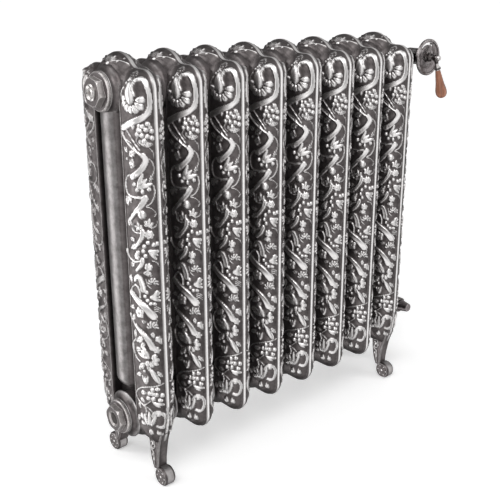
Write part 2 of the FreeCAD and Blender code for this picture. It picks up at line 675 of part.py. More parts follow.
def build_crank():
    height = "sizes.hub_high"
    down = handle_direction()
    boss = turned("lever_boss_core", [
        ("0", "sizes.spindle"), ("sizes.lever_back - sizes.lever_front", "sizes.spindle"),
        ("sizes.lever_back - sizes.lever_front", "sizes.lever_boss - 1.6"),
        ("sizes.lever_back - sizes.lever_front - 2", "sizes.lever_boss"),
        ("2", "sizes.lever_boss"), ("0", "sizes.lever_boss - 1.6")],
        -Y, TOP_X, "sizes.lever_back", height)
    stub = doc.addObject("Part::Cone", "lever_stub")
    stub.Radius1, stub.Radius2 = 4.6, 4.2
    stub.setExpression("Height", "sizes.stub_end - 5.2")
    place(stub, along(down), *on_handle("5.2"))
    angle = "sizes.pointer_angle"
    tip_x = TOP_X + " + sizes.slot_radius * cos(%s * 1deg)" % angle
    tip_z = "sizes.hub_high + sizes.slot_radius * sin(%s * 1deg)" % angle
    heel = FreeCAD.Vector(value(TOP_X), -48.5, value(height))
    tip = FreeCAD.Vector(value(tip_x), -37.2, value(tip_z))
    way = (tip - heel).normalize()
    arm_from = heel + way * 5.5
    arm = doc.addObject("Part::Cone", "pointer_arm")
    arm.Radius1, arm.Radius2 = 2.9, 2.0
    arm.Height = (tip - arm_from).Length
    place(arm, along(way), *["%.6f" % c for c in arm_from])
    pin = rod("pointer_pin", Y, "sizes.pointer_radius", "9.4", tip_x, "-37.8", tip_z)
    ball = doc.addObject("Part::Sphere", "pointer_knuckle")
    ball.Radius = 2.3
    place(ball, FreeCAD.Rotation(), tip_x, "-37.2", tip_z)
    keep("crank_lever", fuse("lever_solid", boss, stub, arm, ball, pin))
    keep("lever_cap_nut", turned("cap_nut_core", [
        ("0", "0"), ("0", "5.6"), ("3", "5.6"), ("5", "4.4"), ("6.2", "2"), ("6.4", "0")],
        -Y, TOP_X, "sizes.lever_front - 0.1", height))
    ferrule = turned("ferrule_core", [
        ("0", "sizes.rod_radius"), ("sizes.ferrule_end - sizes.stub_end - 0.2", "sizes.rod_radius"),
        ("sizes.ferrule_end - sizes.stub_end - 0.2", "5.7"), ("9", "5.2"), ("0", "4")],
        down, *on_handle("sizes.stub_end + 0.1"))
    keep("handle_ferrule", ferrule)
    keep("handle_collar", ring("collar_core", "5.8", "7.4", "4", down,
                               *on_handle("sizes.ferrule_end - 6")))
    keep("handle_rod", rod("tang", along(down), "sizes.rod_radius - 0.02",
                           "sizes.grip_end - sizes.stub_end - 22", *on_handle("sizes.stub_end + 0.1")))
    keep("wooden_handle", wooden_grip(down))


def wooden_grip(down):
    """The turned pear-shaped grip, bored for the handle's rod."""
    start = value("sizes.ferrule_end")
    long = value("sizes.grip_end") - start
    widest = value("sizes.grip_radius")
    curve = Part.BSplineCurve()
    curve.interpolate([FreeCAD.Vector(0, 0, r) + X * long * t for t, r in (
        (0, 5.5), (0.25, 7.6), (0.55, 10.4), (0.8, widest), (0.93, 0.78 * widest), (1, 0.001))],
        InitialTangent=FreeCAD.Vector(1, 0, 0.12), FinalTangent=FreeCAD.Vector(0, 0, -1))
    ends = (FreeCAD.Vector(0, 0, 0), FreeCAD.Vector(long, 0, 0))
    wire = Part.Wire([curve.toShape(), Part.makeLine(curve.EndPoint, ends[1]),
                      Part.makeLine(ends[1], ends[0]), Part.makeLine(ends[0], curve.StartPoint)])
    grip = Part.Face(wire).revolve(ends[0], X, 360)
    bore = Part.makeCylinder(value("sizes.rod_radius"), long - 20, FreeCAD.Vector(), X)
    piece = doc.addObject("Part::Feature", "grip")
    piece.Shape = grip.cut(bore)
    place(piece, FreeCAD.Rotation(X, down), *on_handle("sizes.ferrule_end"))
    return piece


# ---- the lockshield valve at the bottom ----------------------------------------------------

LOW_X = "sizes.mid_x + sizes.low_valve_x"


def build_lockshield():
    height = "sizes.hub_low"
    keep("lower_valve_bonnet", turned("low_bonnet_core", [
        ("0", "sizes.spindle"),
        ("sizes.low_body_front + 6 - sizes.low_bonnet_front", "sizes.spindle"),
        ("sizes.low_body_front + 6 - sizes.low_bonnet_front", "sizes.low_bonnet_radius - 1"),
        ("sizes.low_body_front + 5 - sizes.low_bonnet_front", "sizes.low_bonnet_radius"),
        ("6.1", "sizes.low_bonnet_radius"), ("6.1", "sizes.plug_radius - 0.1"),
        ("0", "sizes.plug_radius - 0.1")], -Y, LOW_X, "sizes.low_body_front + 6", height))
    stem = rod("regulating_stem", -Y, "sizes.spindle - sizes.running_gap",
               "9 - sizes.low_spindle_front", LOW_X, "9", height)
    disc = rod("regulating_disc", Y, "sizes.plug_radius - 1.5", "5", LOW_X, "8", height)
    keep("regulating_spindle", fuse("regulating_solid", stem, disc))
    long = "(sizes.cap_back - sizes.cap_front)"
    cap = turned("cap_core", [
        ("0", "sizes.cap_cavity"), ("0", "sizes.cap_base_radius - 0.6"),
        ("0.6", "sizes.cap_base_radius"), (long + " - 1.2", "sizes.cap_end_radius"),
        (long, "sizes.cap_end_radius - 1.2"), (long, "0"), (long + " - 4", "0"),
        (long + " - 4", "5.6"), (long + " - 16", "sizes.cap_cavity")],
        -Y, LOW_X, "sizes.cap_back", height)
    keep("lockshield_cap", cap)


def write_parts():
    doc.recompute()
    for thing in doc.Objects:
        if "Invalid" in thing.State or "Error" in thing.State:
            raise RuntimeError("%s failed: %s" % (thing.Name, thing.State))
    os.makedirs("parts", exist_ok=True)
    for piece in parts:
        shape = piece.Shape
        if shape.isNull() or not shape.isValid() or not shape.Solids:
            raise RuntimeError(piece.Label + " has no valid solid")
    for piece in parts:
        piece.Shape.exportStep(os.path.join("parts", piece.Label + ".step"))
        print("%-28s %2d solid(s) %12.1f mm3" % (piece.Label, len(piece.Shape.Solids),
                                                piece.Shape.Volume))


build_sections()
build_joints()
build_bushes()
build_air_vent()
for prefix, valve_x, height in (("top", "sizes.top_valve_x", "sizes.hub_high"),
                                ("lower", "sizes.low_valve_x", "sizes.hub_low")):
    union(prefix, valve_x, height)
    pipe_connection(prefix, valve_x, height)
valve_body("top", "sizes.top_valve_x", "sizes.hub_high", "-16", "-17")
valve_body("lower", "sizes.low_valve_x", "sizes.hub_low", "sizes.low_body_front",
           "sizes.low_body_front - 1")
build_throttle()
build_dial()
build_crank()
build_lockshield()
write_parts()
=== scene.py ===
import json
import math

import bpy
import numpy as np
from mathutils import Matrix, Vector


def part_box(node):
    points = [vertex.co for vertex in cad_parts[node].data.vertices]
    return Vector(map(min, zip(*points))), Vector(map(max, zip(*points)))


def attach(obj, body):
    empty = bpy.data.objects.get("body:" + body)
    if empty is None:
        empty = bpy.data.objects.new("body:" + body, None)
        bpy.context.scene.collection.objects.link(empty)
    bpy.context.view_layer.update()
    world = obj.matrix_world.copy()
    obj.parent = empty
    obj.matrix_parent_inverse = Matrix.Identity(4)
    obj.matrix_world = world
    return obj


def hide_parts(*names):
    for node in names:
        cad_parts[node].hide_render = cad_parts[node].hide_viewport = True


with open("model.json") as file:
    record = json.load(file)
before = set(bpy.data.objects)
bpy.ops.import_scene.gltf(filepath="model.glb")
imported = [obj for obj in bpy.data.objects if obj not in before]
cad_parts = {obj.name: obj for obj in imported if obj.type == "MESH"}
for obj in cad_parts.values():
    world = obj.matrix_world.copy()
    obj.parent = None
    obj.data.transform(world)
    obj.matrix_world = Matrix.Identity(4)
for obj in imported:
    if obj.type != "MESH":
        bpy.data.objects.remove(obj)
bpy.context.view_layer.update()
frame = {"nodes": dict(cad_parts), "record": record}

MM = 0.001

# ---- driving dimensions, in millimetres --------------------

SECTION_COUNT = 8


def centre_of(node):
    low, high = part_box(node)
    return [(a + b) / 2 / MM for a, b in zip(low, high)]


SECOND_X, LAST_BUT_ONE_X = (centre_of("section_%d" % n)[0] for n in (2, SECTION_COUNT - 1))
PITCH = (LAST_BUT_ONE_X - SECOND_X) / (SECTION_COUNT - 3)
STACK_X = (SECOND_X + LAST_BUT_ONE_X) / 2
SECTION_X = [SECOND_X + (i - 1) * PITCH for i in range(SECTION_COUNT)]
HUB_LOW = 129.0         # heights on a section are drawn with its bottom hub here
LIFT = centre_of("bottom_left_bush")[2] - HUB_LOW
HUB_HIGH = centre_of("top_left_bush")[2] - LIFT
MIDDLE_Z = (HUB_HIGH + HUB_LOW) / 2
HALF_DEPTH = (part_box("section_2")[1].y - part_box("section_2")[0].y) / 2 / MM
HUB_HALF = (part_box("section_2")[1].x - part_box("section_2")[0].x) / 2 / MM
HUB_END = SECTION_X[0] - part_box("section_1")[0].x / MM      # the end sections' outer hub faces
CREST_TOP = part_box("section_2")[1].z / MM - LIFT

PANEL = 39.0            # half width of the plain panel with the tube
FLANK_HALF = 28.0
NOSE = 42.0             # how far in from the edge the flank is still swelling
LAND = 1.4              # half the flat edge
CORNER = 30.0
SHOULDER = CREST_TOP - 22.5
PATTERN_TOP = 760.0
PATTERN_LOW = 100.0
CREST_RADIUS = 57.9
BELLY_RADIUS = 51.0     # the crest below the bottom hub, about the hub's axis

TUBE_HALF = (36.0, 36.5)
TUBE_FOOT = 182.0       # the tube's domed lower end
TUBE_DOME = 26.0
WEB_HALF = 9.2

LEG_HALF = 11.0
LEG_INNER = ((115, 41), (96, 46), (60, 50), (38, 55.5), (22, 64))      # height, distance out
LEG_FRONT = ((122, 94), (92, 83), (58, 76), (40, 74), (28, 74))
LEG_OUTER = ((88, 80), (98, 84), (110, 88.5), (128, 94), (145, 97.5), (165, 99.5), (900, 140))
FOOT_RADIUS = 18.5
FOOT_Y = 81.0
FOOT_Z = 17.6

DIAL_RIM = 3.2          # how far the dial's rim stands over its face

FRONT_STEP = 1.4        # the flank mesh: rows down the front and columns across
REAR_STEP = 2.1
FAN_ROWS = 90           # rows round each end of a section
BAND = np.linspace(1, -1, 9)[1:-1]      # columns across a leg's edge, from side to side
MIRROR_X = np.array([-1, 1, 1])

SHADE_BLACK = -0.6             # the polish value that paints metal near black: painted shade in the creases and between parts, and a darker ground on the legs and feet


# ---- small tools --------------------

def smoothstep(low, high, value):
    t = np.clip((value - low) / (high - low), 0, 1)
    return t * t * (3 - 2 * t)


def smooth_max(a, b, soft):
    mix = np.clip(0.5 + 0.5 * (a - b) / soft, 0, 1)
    return a * mix + b * (1 - mix) + soft * mix * (1 - mix)


def smooth_min(a, b, soft):
    return -smooth_max(-a, -b, soft)


def spline(points, steps=14):
    """Samples of a smooth curve through the points, as (a, z, fraction)."""
    corners = np.array([points[0]] + list(points) + [points[-1]], float)
    out = []
    spans = len(points) - 1
    for i in range(spans):
        p0, p1, p2, p3 = corners[i:i + 4]
        for k in range(steps):
            t = k / steps
            point = 0.5 * (2 * p1 + (p2 - p0) * t + (2 * p0 - 5 * p1 + 4 * p2 - p3) * t ** 2
                           + (3 * p1 - p0 - 3 * p2 + p3) * t ** 3)
            out.append((point[0], point[1], (i + t) / spans))
    out.append((corners[-1][0], corners[-1][1], 1.0))
    return out


class Shell:
    """Collects grids of points into one mesh, with a polish-and-shade value at every vertex: polish
    above 0, painted shade and darker ground below 0.
    """

    def __init__(self):
        self.points = []
        self.faces = []
        self.polish_and_shade = []
        self.count = 0

    def grid(self, points, polish_and_shade=0.0, loop_rows=False, loop_columns=False, flip=False):
        rows, columns = points.shape[:2]
        index = self.count + np.arange(rows * columns).reshape(rows, columns)
        if loop_rows:
            index = np.vstack([index, index[:1]])
        if loop_columns:
            index = np.hstack([index, index[:, :1]])
        quads = np.stack([index[:-1, :-1], index[:-1, 1:], index[1:, 1:], index[1:, :-1]], -1)
        quads = quads.reshape(-1, 4)
        self.faces.append(quads[:, ::-1] if flip else quads)
        self.points.append(points.reshape(-1, 3))
        self.polish_and_shade.append(np.broadcast_to(polish_and_shade, points.shape[:2]).reshape(-1))
        self.count += rows * columns
        return index

    def quads(self, quads):
        self.faces.append(np.asarray(quads).reshape(-1, 4))

    def mesh(self, name):
        points = np.vstack(self.points) * MM
        quads = np.vstack(self.faces)
        mesh = bpy.data.meshes.new(name)
        mesh.vertices.add(len(points))
        mesh.vertices.foreach_set("co", points.astype(np.float32).ravel())
        mesh.loops.add(quads.size)
        mesh.loops.foreach_set("vertex_index", quads.astype(np.int32).ravel())
        mesh.polygons.add(len(quads))
        mesh.polygons.foreach_set("loop_start", np.arange(0, quads.size, 4, dtype=np.int32))
        mesh.polygons.foreach_set("use_smooth", np.ones(len(quads), bool))
        layer = mesh.attributes.new("polish_and_shade", "FLOAT", "POINT")
        layer.data.foreach_set("value", np.concatenate(self.polish_and_shade).astype(np.float32))
        mesh.update(calc_edges=True)
        mesh.validate()
        return mesh


# ---- relief: ornaments as heights over the flank --------------------
#
# a is the distance in from the panel towards the ridge, measured over the flank's surface,
# and z is the height above the floor.  Angles are degrees, 0 towards the ridge and 90 up.

class Relief:
    def __init__(self, a, z):
        self.a = a
        self.z = z
        self.height = np.zeros_like(a)

    def local(self, a, z, angle):
        turn = math.radians(angle)
        da, dz = self.a - a, self.z - z
        return (da * math.cos(turn) + dz * math.sin(turn),
                -da * math.sin(turn) + dz * math.cos(turn))

    def raise_to(self, height):
        self.height = np.maximum(self.height, height)

    def carve(self, a, z, radius, depth):
        reach = np.hypot(self.a - a, self.z - z)
        self.height = self.height - depth * (1 - smoothstep(radius * 0.75, radius * 1.05, reach))

    def berry(self, a, z, radius, height=None):
        height = height or radius * 0.85
        reach = np.hypot(self.a - a, self.z - z) / radius
        self.raise_to(height * np.sqrt(np.clip(1 - reach ** 2, 0, 1)))

    def bunch(self, places, radius):
        for a, z in places:
            self.berry(a, z, radius)

    def petal(self, a, z, angle, length, width, height=3.0, crease=0.5, tip=0.62):
        """A petal from its root at (a, z); it is widest at tip of its length."""
        u, v = self.local(a, z, angle)
        t = np.clip(u / length, 0, 1)
        half = 0.56 * width * np.where(t < tip, np.sin(0.5 * math.pi * t / tip) ** 0.8,
                                      np.sqrt(np.clip(1 - ((t - tip) / (1 - tip)) ** 2, 0, 1)))
        inside = (u > 0) & (u < length)
        across = np.clip(np.abs(v) / np.maximum(half, 1e-3), 0, 1)
        body = np.sqrt(np.clip(1 - across ** 2, 0, 1)) * (0.55 + 0.45 * np.sin(math.pi * t))
        groove = crease * np.exp(-(v / (0.12 * width + 0.3)) ** 2) * np.sin(math.pi * t)
        self.raise_to(np.where(inside & (across < 1), height * body - groove, 0))

    def flower(self, a, z, radius, petals, height=3.0, turn=0.0, centre=0.28):
        for i in range(petals):
            self.petal(a, z, turn + 360 * i / petals, radius,
                       1.25 * radius * math.sin(math.pi / petals) + 0.5, height, 0.9)
        self.berry(a, z, radius * centre, height * 1.25)

    def tulip(self, a, z, angle, size, height=3.4):
        """Three lobes that rise from a cup."""
        for spread, reach, width in ((0, 0.92, 0.28), (23, 1.08, 0.27), (-23, 1.08, 0.27)):
            self.petal(a, z, angle + spread, size * reach, size * width, height, 1.3, 0.4)
        self.berry(a + 0.16 * size * math.cos(math.radians(angle)),
                   z + 0.16 * size * math.sin(math.radians(angle)), size * 0.17, height * 0.95)

    def carnation(self, a, z, angle, radius, height=3.2):
        """A ruffled fan: radial folds in three tiers."""
        u, v = self.local(a, z, angle)
        reach = np.hypot(u, v) / radius
        bearing = np.arctan2(v, u)
        ruffle = 1 + 0.07 * np.sin(9 * bearing)
        open_fan = smoothstep(-0.95, -0.6, np.cos(bearing) - 0.2 * reach)
        folds = 0.62 + 0.38 * np.cos(9 * bearing + 4 * reach)
        tiers = 0.6 + 0.4 * np.abs(np.sin(1.6 * math.pi * reach))
        edge = np.sqrt(np.clip(1 - (reach / ruffle) ** 4, 0, 1))
        self.raise_to(height * edge * folds * tiers * open_fan)

    def leaf(self, a, z, angle, length, width, height=2.4, teeth=4):
        """A toothed leaf with a sunk midrib and side veins."""
        u, v = self.local(a, z, angle)
        t = np.clip(u / length, 0, 1)
        half = 0.62 * width * np.sin(math.pi * t ** 0.8) * (1 + 0.16 * np.sin(2 * math.pi * teeth * t))
        inside = (u > 0) & (u < length) & (np.abs(v) < half)
        across = np.clip(np.abs(v) / np.maximum(half, 1e-3), 0, 1)
        body = (1 - across ** 3) * (0.6 + 0.4 * np.cos(2 * math.pi * (teeth * t - 0.55 * across)) ** 2)
        rib = 0.9 * np.exp(-(v / 0.9) ** 2)
        self.raise_to(np.where(inside, height * body - rib, 0))

    def leaves(self, *leaves):
        for leaf in leaves:
            self.leaf(*leaf)

    def maple(self, a, z, angle, size, height=2.6):
        for spread, reach in ((0, 1.0), (52, 0.8), (-52, 0.8), (104, 0.55), (-104, 0.55)):
            self.leaf(a, z, angle + spread, size * reach, size * 0.34, height, 2)

    def nearest(self, points):
        """Distance from the curve and how far along it, at every vertex near it."""
        samples = spline(points)
        best = np.full(self.a.shape, 1e3)
        share = np.zeros_like(best)
        (a_low, a_high), (z_low, z_high) = [(min(row) - 12, max(row) + 12)
                                            for row in list(zip(*samples))[:2]]
        near = (self.a > a_low) & (self.a < a_high) & (self.z > z_low) & (self.z < z_high)
        a_near, z_near = self.a[near], self.z[near]
        gap_near = np.full(a_near.shape, 1e3)
        share_near = np.zeros(a_near.shape)
        for (a0, z0, f0), (a1, z1, f1) in zip(samples[:-1], samples[1:]):
            da, dz = a1 - a0, z1 - z0
            span = max(da * da + dz * dz, 1e-9)
            t = np.clip(((a_near - a0) * da + (z_near - z0) * dz) / span, 0, 1)
            gap = np.hypot(a_near - a0 - t * da, z_near - z0 - t * dz)
            closer = gap < gap_near
            gap_near = np.where(closer, gap, gap_near)
            share_near = np.where(closer, f0 + t * (f1 - f0), share_near)
        best[near] = gap_near
        share[near] = share_near
        return best, share

    def ribbon(self, points, start_width, end_width, height=3.2, curl=0.35):
        """The polished face of the ribbon: flat, a little dished, with raised edges."""
        gap, share = self.nearest(points)
        half = 0.65 * (start_width + (end_width - start_width) * share)
        across = gap / half
        face = 1 - curl * (1 - across ** 2)
        edge = 1 - smoothstep(0.86, 1.04, across)
        self.raise_to(height * face * edge)

    def line(self, points, width, height=2.0):
        """A thin raised line: a ribbon's edge seen from behind, a stem or a tendril."""
        gap = self.nearest(points)[0]
        self.raise_to(height * np.sqrt(np.clip(1 - (gap / (0.5 * width)) ** 2, 0, 1)))

    def hem(self, points, width, depth):
        """A shaded, sunk band: the ribbon's back."""
        gap = self.nearest(points)[0]
        self.height = self.height - depth * (1 - smoothstep(0.4 * width, 0.6 * width, gap))


def sunk_backs(relief):
    """The ribbon's backs and the scroll's eye, which everything else lies over."""
    relief.hem([(8, 676), (24, 661), (50, 640)], 15, 0.8)
    relief.hem([(18, 598), (15, 585), (22, 572), (36, 570)], 16, 0.9)
    relief.hem([(18, 520), (26, 512), (36, 508)], 12, 0.7)
    relief.hem([(10, 464), (24, 458), (34, 456)], 12, 0.7)
    relief.hem([(16, 398), (22, 394)], 12, 0.8)
    relief.carve(43.5, 743, 8.5, 1.6)


def scroll_and_daisy(relief):
    """The cornucopia scroll and the great daisy it curls round."""
    relief.ribbon([(34, 747), (36, 754), (44, 758), (54, 754), (61.5, 742), (64, 724), (61, 708),
                   (52, 698.5), (38, 692), (24, 686), (10, 679)], 3.2, 9, 3.6)
    relief.ribbon([(39, 733), (35, 742), (36.5, 752)], 3.4, 2.6, 4.2)
    relief.petal(30, 717, 96, 36, 17, 5.8, 0.3, 0.3)
    for angle, length, width in ((178, 20, 9.5), (207, 21, 10.5), (238, 20, 10.5), (270, 19, 10.5),
                                 (301, 21, 10.5), (332, 24, 10.5), (3, 24, 10)):
        turn = math.radians(angle)
        relief.petal(30 + 9.5 * math.cos(turn), 725 + 8.5 * math.sin(turn), angle, length - 6, width,
                     3.8, 1.2, 0.72)
    relief.bunch([(21, 754), (17, 750), (25, 757)], 2.6)
    relief.line([(13, 744), (8, 736), (7, 724)], 2.4)


def first_fold(relief):
    """The ribbon's first fold, with berries, leaves and a maple leaf."""
    relief.line([(11, 680), (6.5, 677), (5.5, 670), (12, 661), (30, 648), (50, 635)], 3.4, 3.2)
    relief.line([(14, 679), (26, 667), (37, 654), (44, 645)], 2.2, 2.6)
    relief.line([(16, 660), (28, 655), (36, 645)], 1.8, 2.0)
    relief.petal(34, 690, 262, 12, 5, 2.6)
    relief.bunch([(59, 688.5), (50.5, 684.5), (43.5, 678), (56, 679), (65, 677), (40.5, 671),
                  (49, 669.5), (58, 668.5), (65.5, 665.5), (53, 661)], 4.3)
    relief.bunch([(44, 685), (62.5, 683), (47, 677)], 3.2)
    relief.line([(42, 668), (38, 660), (44, 653)], 1.6, 1.8)
    relief.bunch([(28, 628), (22, 622), (14, 628)], 2.8)
    relief.maple(28, 618, 120, 13)
    relief.ribbon([(50, 637), (54, 630), (49, 619), (40, 609), (27, 600)], 7, 8, 3.4)
    relief.line([(56, 634), (63, 628), (66, 616), (63, 604)], 1.8, 1.8)
    relief.line([(60, 650), (66, 642), (67, 632)], 1.6, 1.8)
    relief.leaves((42, 660, -12, 22, 9, 2.8, 3), (52, 652, 20, 16, 7, 2.4, 3),
                  (20, 634, 30, 20, 12, 2.4), (18, 640, 150, 14, 9, 2.2))


def tulip_loop(relief):
    """A loop of the ribbon round a striped tulip."""
    relief.line([(28, 604), (15, 600), (8, 590), (8, 577), (14, 568), (26, 565.5), (44, 566)],
                2.8, 2.6)
    relief.tulip(36, 582, 42, 27, 3.8)
    for a, z, angle in ((30, 599, 95), (28.5, 586, 150), (34, 577.5, 215), (45, 575.5, 280),
                        (56, 580.5, 320)):
        relief.petal(a, z - 3, 80, 8.6, 6.8, 3.4, 0.0, 0.5)
    relief.line([(57, 592), (64, 588), (65.5, 574), (60, 560), (51, 553)], 2.0, 2.0)
    relief.leaf(63, 606, 250, 15, 6, 2.2, 3)
    relief.maple(16, 558, 80, 12, 2.8)
    relief.ribbon([(50, 566), (44, 556), (30, 541), (15, 524.5)], 8.5, 4.5, 3.6)
    relief.line([(48, 567), (36, 567), (30, 563)], 2.4, 2.4)


def fruit_and_rosettes(relief):
    """A round fruit over two jagged leaves, then the ribbon's short folds with rosettes."""
    relief.berry(42, 537.5, 8.2, 4.6)
    relief.maple(53, 520, 78, 15, 3.2)
    relief.maple(35, 512, 100, 14, 3.2)
    relief.line([(50, 552), (60, 549), (66, 541), (63, 535)], 1.8, 1.8)
    relief.line([(58, 515), (66, 520), (68, 528)], 1.8, 1.8)
    relief.line([(14, 524), (19, 517), (21, 508), (29, 504.5), (43, 506)], 2.6, 2.4)
    relief.line([(24, 520), (24, 507)], 2.0, 2.0)
    relief.ribbon([(42.5, 508), (41, 500), (36, 491), (28, 481)], 6.5, 4.5, 3.6)
    relief.line([(41, 518), (42, 506)], 2.6, 2.6)
    relief.flower(53.5, 504, 8.4, 7, 3.4)
    relief.bunch([(51, 489.5), (60.5, 486), (43.5, 482), (41.5, 473.5), (45.5, 465.5), (67, 488)], 4.0)
    relief.tulip(51, 476, -28, 20, 3.6)
    relief.flower(27, 462, 7, 6, 2.6)
    relief.line([(2, 470), (3, 461), (10, 454), (22, 451), (38, 456.5)], 2.8, 2.6)
    relief.ribbon([(39.5, 458), (38, 452), (33, 444), (26, 437)], 6, 4.5, 3.6)
    relief.flower(50, 446, 7.6, 6, 3.4, 20)
    relief.line([(56, 458), (64, 455), (68, 447)], 1.8, 1.8)
    relief.leaves((10, 548, 100, 18, 10, 2.2), (8, 512, 70, 20, 10, 2.2),
                  (30, 482, 205, 22, 10, 2.6), (26, 490, 175, 18, 8, 2.4),
                  (34, 474, 230, 20, 8, 2.6))


def hook_and_long_fold(relief):
    """The ribbon's hook and its longest fold, with tulip and carnation."""
    relief.maple(50, 432, 100, 10, 3.0)
    relief.ribbon([(20, 417), (24, 424), (31, 425), (36, 416), (38.5, 404)], 5, 8.5, 3.8)
    relief.carnation(56, 418, 90, 9.2, 3.8)
    relief.line([(44, 424), (46, 414), (52, 408)], 1.8, 1.8)
    relief.line([(20, 409), (11, 402), (6, 393), (8, 386)], 3.0, 2.8)
    relief.line([(19, 409), (26, 406), (30.5, 397), (30, 387)], 2.8, 2.8)
    relief.ribbon([(8, 391), (22, 382), (40, 371), (54.5, 356)], 8.5, 10.5, 3.8)
    relief.bunch([(44.5, 399.5), (40.5, 391.5), (45, 384.5), (50.5, 379), (57.5, 379.5)], 3.6)
    relief.tulip(50, 391, 4, 19, 3.8)
    relief.petal(56, 394, 50, 13, 6, 3.2)
    for step in range(3):
        relief.line([(56, 372 - 4 * step), (61, 374 - 4 * step), (66, 370 - 4 * step)], 1.7, 1.8)
    relief.line([(55, 356), (60, 350), (59, 343)], 1.8, 1.8)
    relief.flower(26, 358, 11, 5, 3.2, 30)
    relief.carnation(52, 336, 95, 10.5, 4.2)
    relief.leaves((40, 434, 10, 16, 8, 2.8, 3), (12, 440, 60, 18, 10, 2.4),
                  (6, 425, 280, 18, 9, 2.4), (14, 366, 200, 14, 9, 2.4),
                  (12, 352, 250, 16, 9, 2.4), (52, 326, 270, 12, 8, 2.6, 3),
                  (30, 342, 10, 12, 6, 2.2, 3))


def last_fold(relief):
    """The last fold, a half-open daisy and the leaves under it."""
    relief.line([(1.5, 350), (4, 342), (10, 334), (20, 328)], 3.0, 2.8)
    relief.ribbon([(15, 331), (30, 322), (43, 310), (50.5, 297)], 4.5, 10, 3.8)
    relief.maple(60, 310, 70, 11, 3.0)
    relief.flower(57, 292, 7, 6, 3.2)
    relief.tulip(44, 274, 148, 26, 4.0)
    for angle, length in ((38, 13), (4, 14), (-32, 14), (-72, 12), (-122, 12)):
        turn = math.radians(angle)
        relief.petal(44 + 4 * math.cos(turn), 272 + 4 * math.sin(turn), angle, length, 8, 3.4, 1.0)
    relief.line([(12, 304), (4, 294), (4, 280), (11, 268), (22, 262)], 2.8, 2.6)
    relief.bunch([(27, 252), (20, 248), (31, 246)], 3.2)
    relief.petal(43, 256, -60, 36, 10, 4.0, 0.4, 0.5)
    relief.tulip(34, 221, 98, 17, 3.6)
    relief.leaves((58, 318, 300, 18, 9, 2.8, 3), (32, 312, 215, 24, 11, 2.8),
                  (36, 304, 230, 20, 8, 2.6), (12, 322, 265, 18, 10, 2.4),
                  (10, 282, 20, 18, 10, 2.4), (34, 262, 215, 22, 9, 2.8),
                  (40, 262, -80, 16, 8, 2.8, 3), (24, 238, 200, 18, 9, 2.4),
                  (56, 250, -50, 16, 7, 2.6, 3))


def grapes_and_tulip(relief):
    """Grapes, the knotted line, the C-scroll and the bottom tulip."""
    relief.line([(67, 226), (55, 221), (38, 216), (20, 209), (8, 200), (4, 191), (8, 182),
                 (18, 177), (27, 175)], 2.4, 2.2)
    relief.bunch([(46.5, 212.5), (55.5, 214.5), (40, 203.5), (53.5, 203), (37, 193.5), (47.5, 194),
                  (59.5, 192), (63.5, 202), (46, 204)], 4.6)
    relief.petal(44, 190, -38, 20, 7, 3.0, 0.4)
    relief.petal(46, 186, -8, 22, 6, 3.0, 0.4)
    relief.berry(26.5, 175.5, 2.8, 3.4)
    relief.line([(27, 176), (36, 183), (42, 190)], 1.8, 1.9)
    relief.line([(27, 176), (36, 172), (43, 166)], 2.0, 2.0)
    relief.line([(27, 176), (30, 166), (28, 156)], 2.6, 2.6)
    relief.ribbon([(44, 158), (49, 166), (57, 167), (64, 160), (65.5, 151), (63, 141), (57, 135),
                   (50, 137)], 5, 4, 3.8)
    relief.berry(54.5, 162, 4.4, 4.4)
    for a, angle, length in ((32, 108, 25), (35, 88, 31), (38, 66, 30)):
        relief.petal(a, 134, angle, length, 7, 4.0, 1.2, 0.35)
    relief.petal(21, 144, 112, 13, 9, 3.0, 0.7)
    relief.petal(27, 135, 168, 13, 7, 3.0, 0.7)
    relief.petal(36, 128, -95, 13, 9, 3.0)
    relief.petal(47, 127, -70, 13, 8, 3.0)
    relief.leaves((18, 200, 10, 18, 9, 2.6), (16, 188, -20, 16, 8, 2.4),
                  (12, 150, 240, 16, 9, 2.6), (14, 165, 100, 14, 8, 2.4))


def flank_ornament(relief):
    """The sunk backs, then everything over them from the shoulder down."""
    for stage in (sunk_backs, scroll_and_daisy, first_fold, tulip_loop, fruit_and_rosettes,
                  hook_and_long_fold, last_fold, grapes_and_tulip):
        stage(relief)


# ---- the section's surface --------------------

def inset(y, z, legs):
    """How far a point of the YZ plane lies inside the section's outline."""
    y = np.abs(y)
    rise = np.abs(z - MIDDLE_Z)
    top = SHOULDER - MIDDLE_Z
    qy, qz = y - (HALF_DEPTH - CORNER), rise - (top - CORNER)
    outside = np.hypot(np.maximum(qy, 0), np.maximum(qz, 0))
    plate = CORNER - outside - np.minimum(np.maximum(qy, qz), 0)
    crest = CREST_RADIUS - np.hypot(y, rise - (CREST_TOP - MIDDLE_Z - CREST_RADIUS))
    belly = BELLY_RADIUS - np.hypot(y, z - HUB_LOW)
    depth = smooth_max(plate, np.where(z > MIDDLE_Z, crest, belly), 7.0)
    if legs:
        edge = np.interp(z, *np.array(LEG_OUTER).T)
        depth = np.where(z < 175, smooth_min(depth, 0.88 * (edge - y), 4.0), depth)
    return depth


def half_thickness(depth):
    swell = np.clip(1 - (1 - np.clip(depth, 0, NOSE) / NOSE) ** 2, 0, 1) ** 0.56
    return LAND + (FLANK_HALF - LAND) * swell


ARC_DEPTH = np.linspace(0, HALF_DEPTH - PANEL, 800)
ARC_LENGTH = np.concatenate([[0], np.cumsum(np.hypot(np.diff(ARC_DEPTH),
                                                     np.diff(half_thickness(ARC_DEPTH))))])
FLANK_ARC = ARC_LENGTH[-1]


def depth_at(arc):
    return np.interp(arc, ARC_LENGTH, ARC_DEPTH)


def arc_at(depth):
    return np.interp(depth, ARC_DEPTH, ARC_LENGTH)


def outline_reach(centre, bearing, legs):
    """Distance from a hub's axis to the outline, along a bearing in the YZ plane."""
    low = np.full(bearing.shape, PANEL)
    high = np.full(bearing.shape, 140.0)
    for halving in range(40):
        middle = (low + high) / 2
        inside = inset(middle * np.cos(bearing), centre + middle * np.sin(bearing), legs) > 0
        low = np.where(inside, middle, low)
        high = np.where(inside, high, middle)
    return low


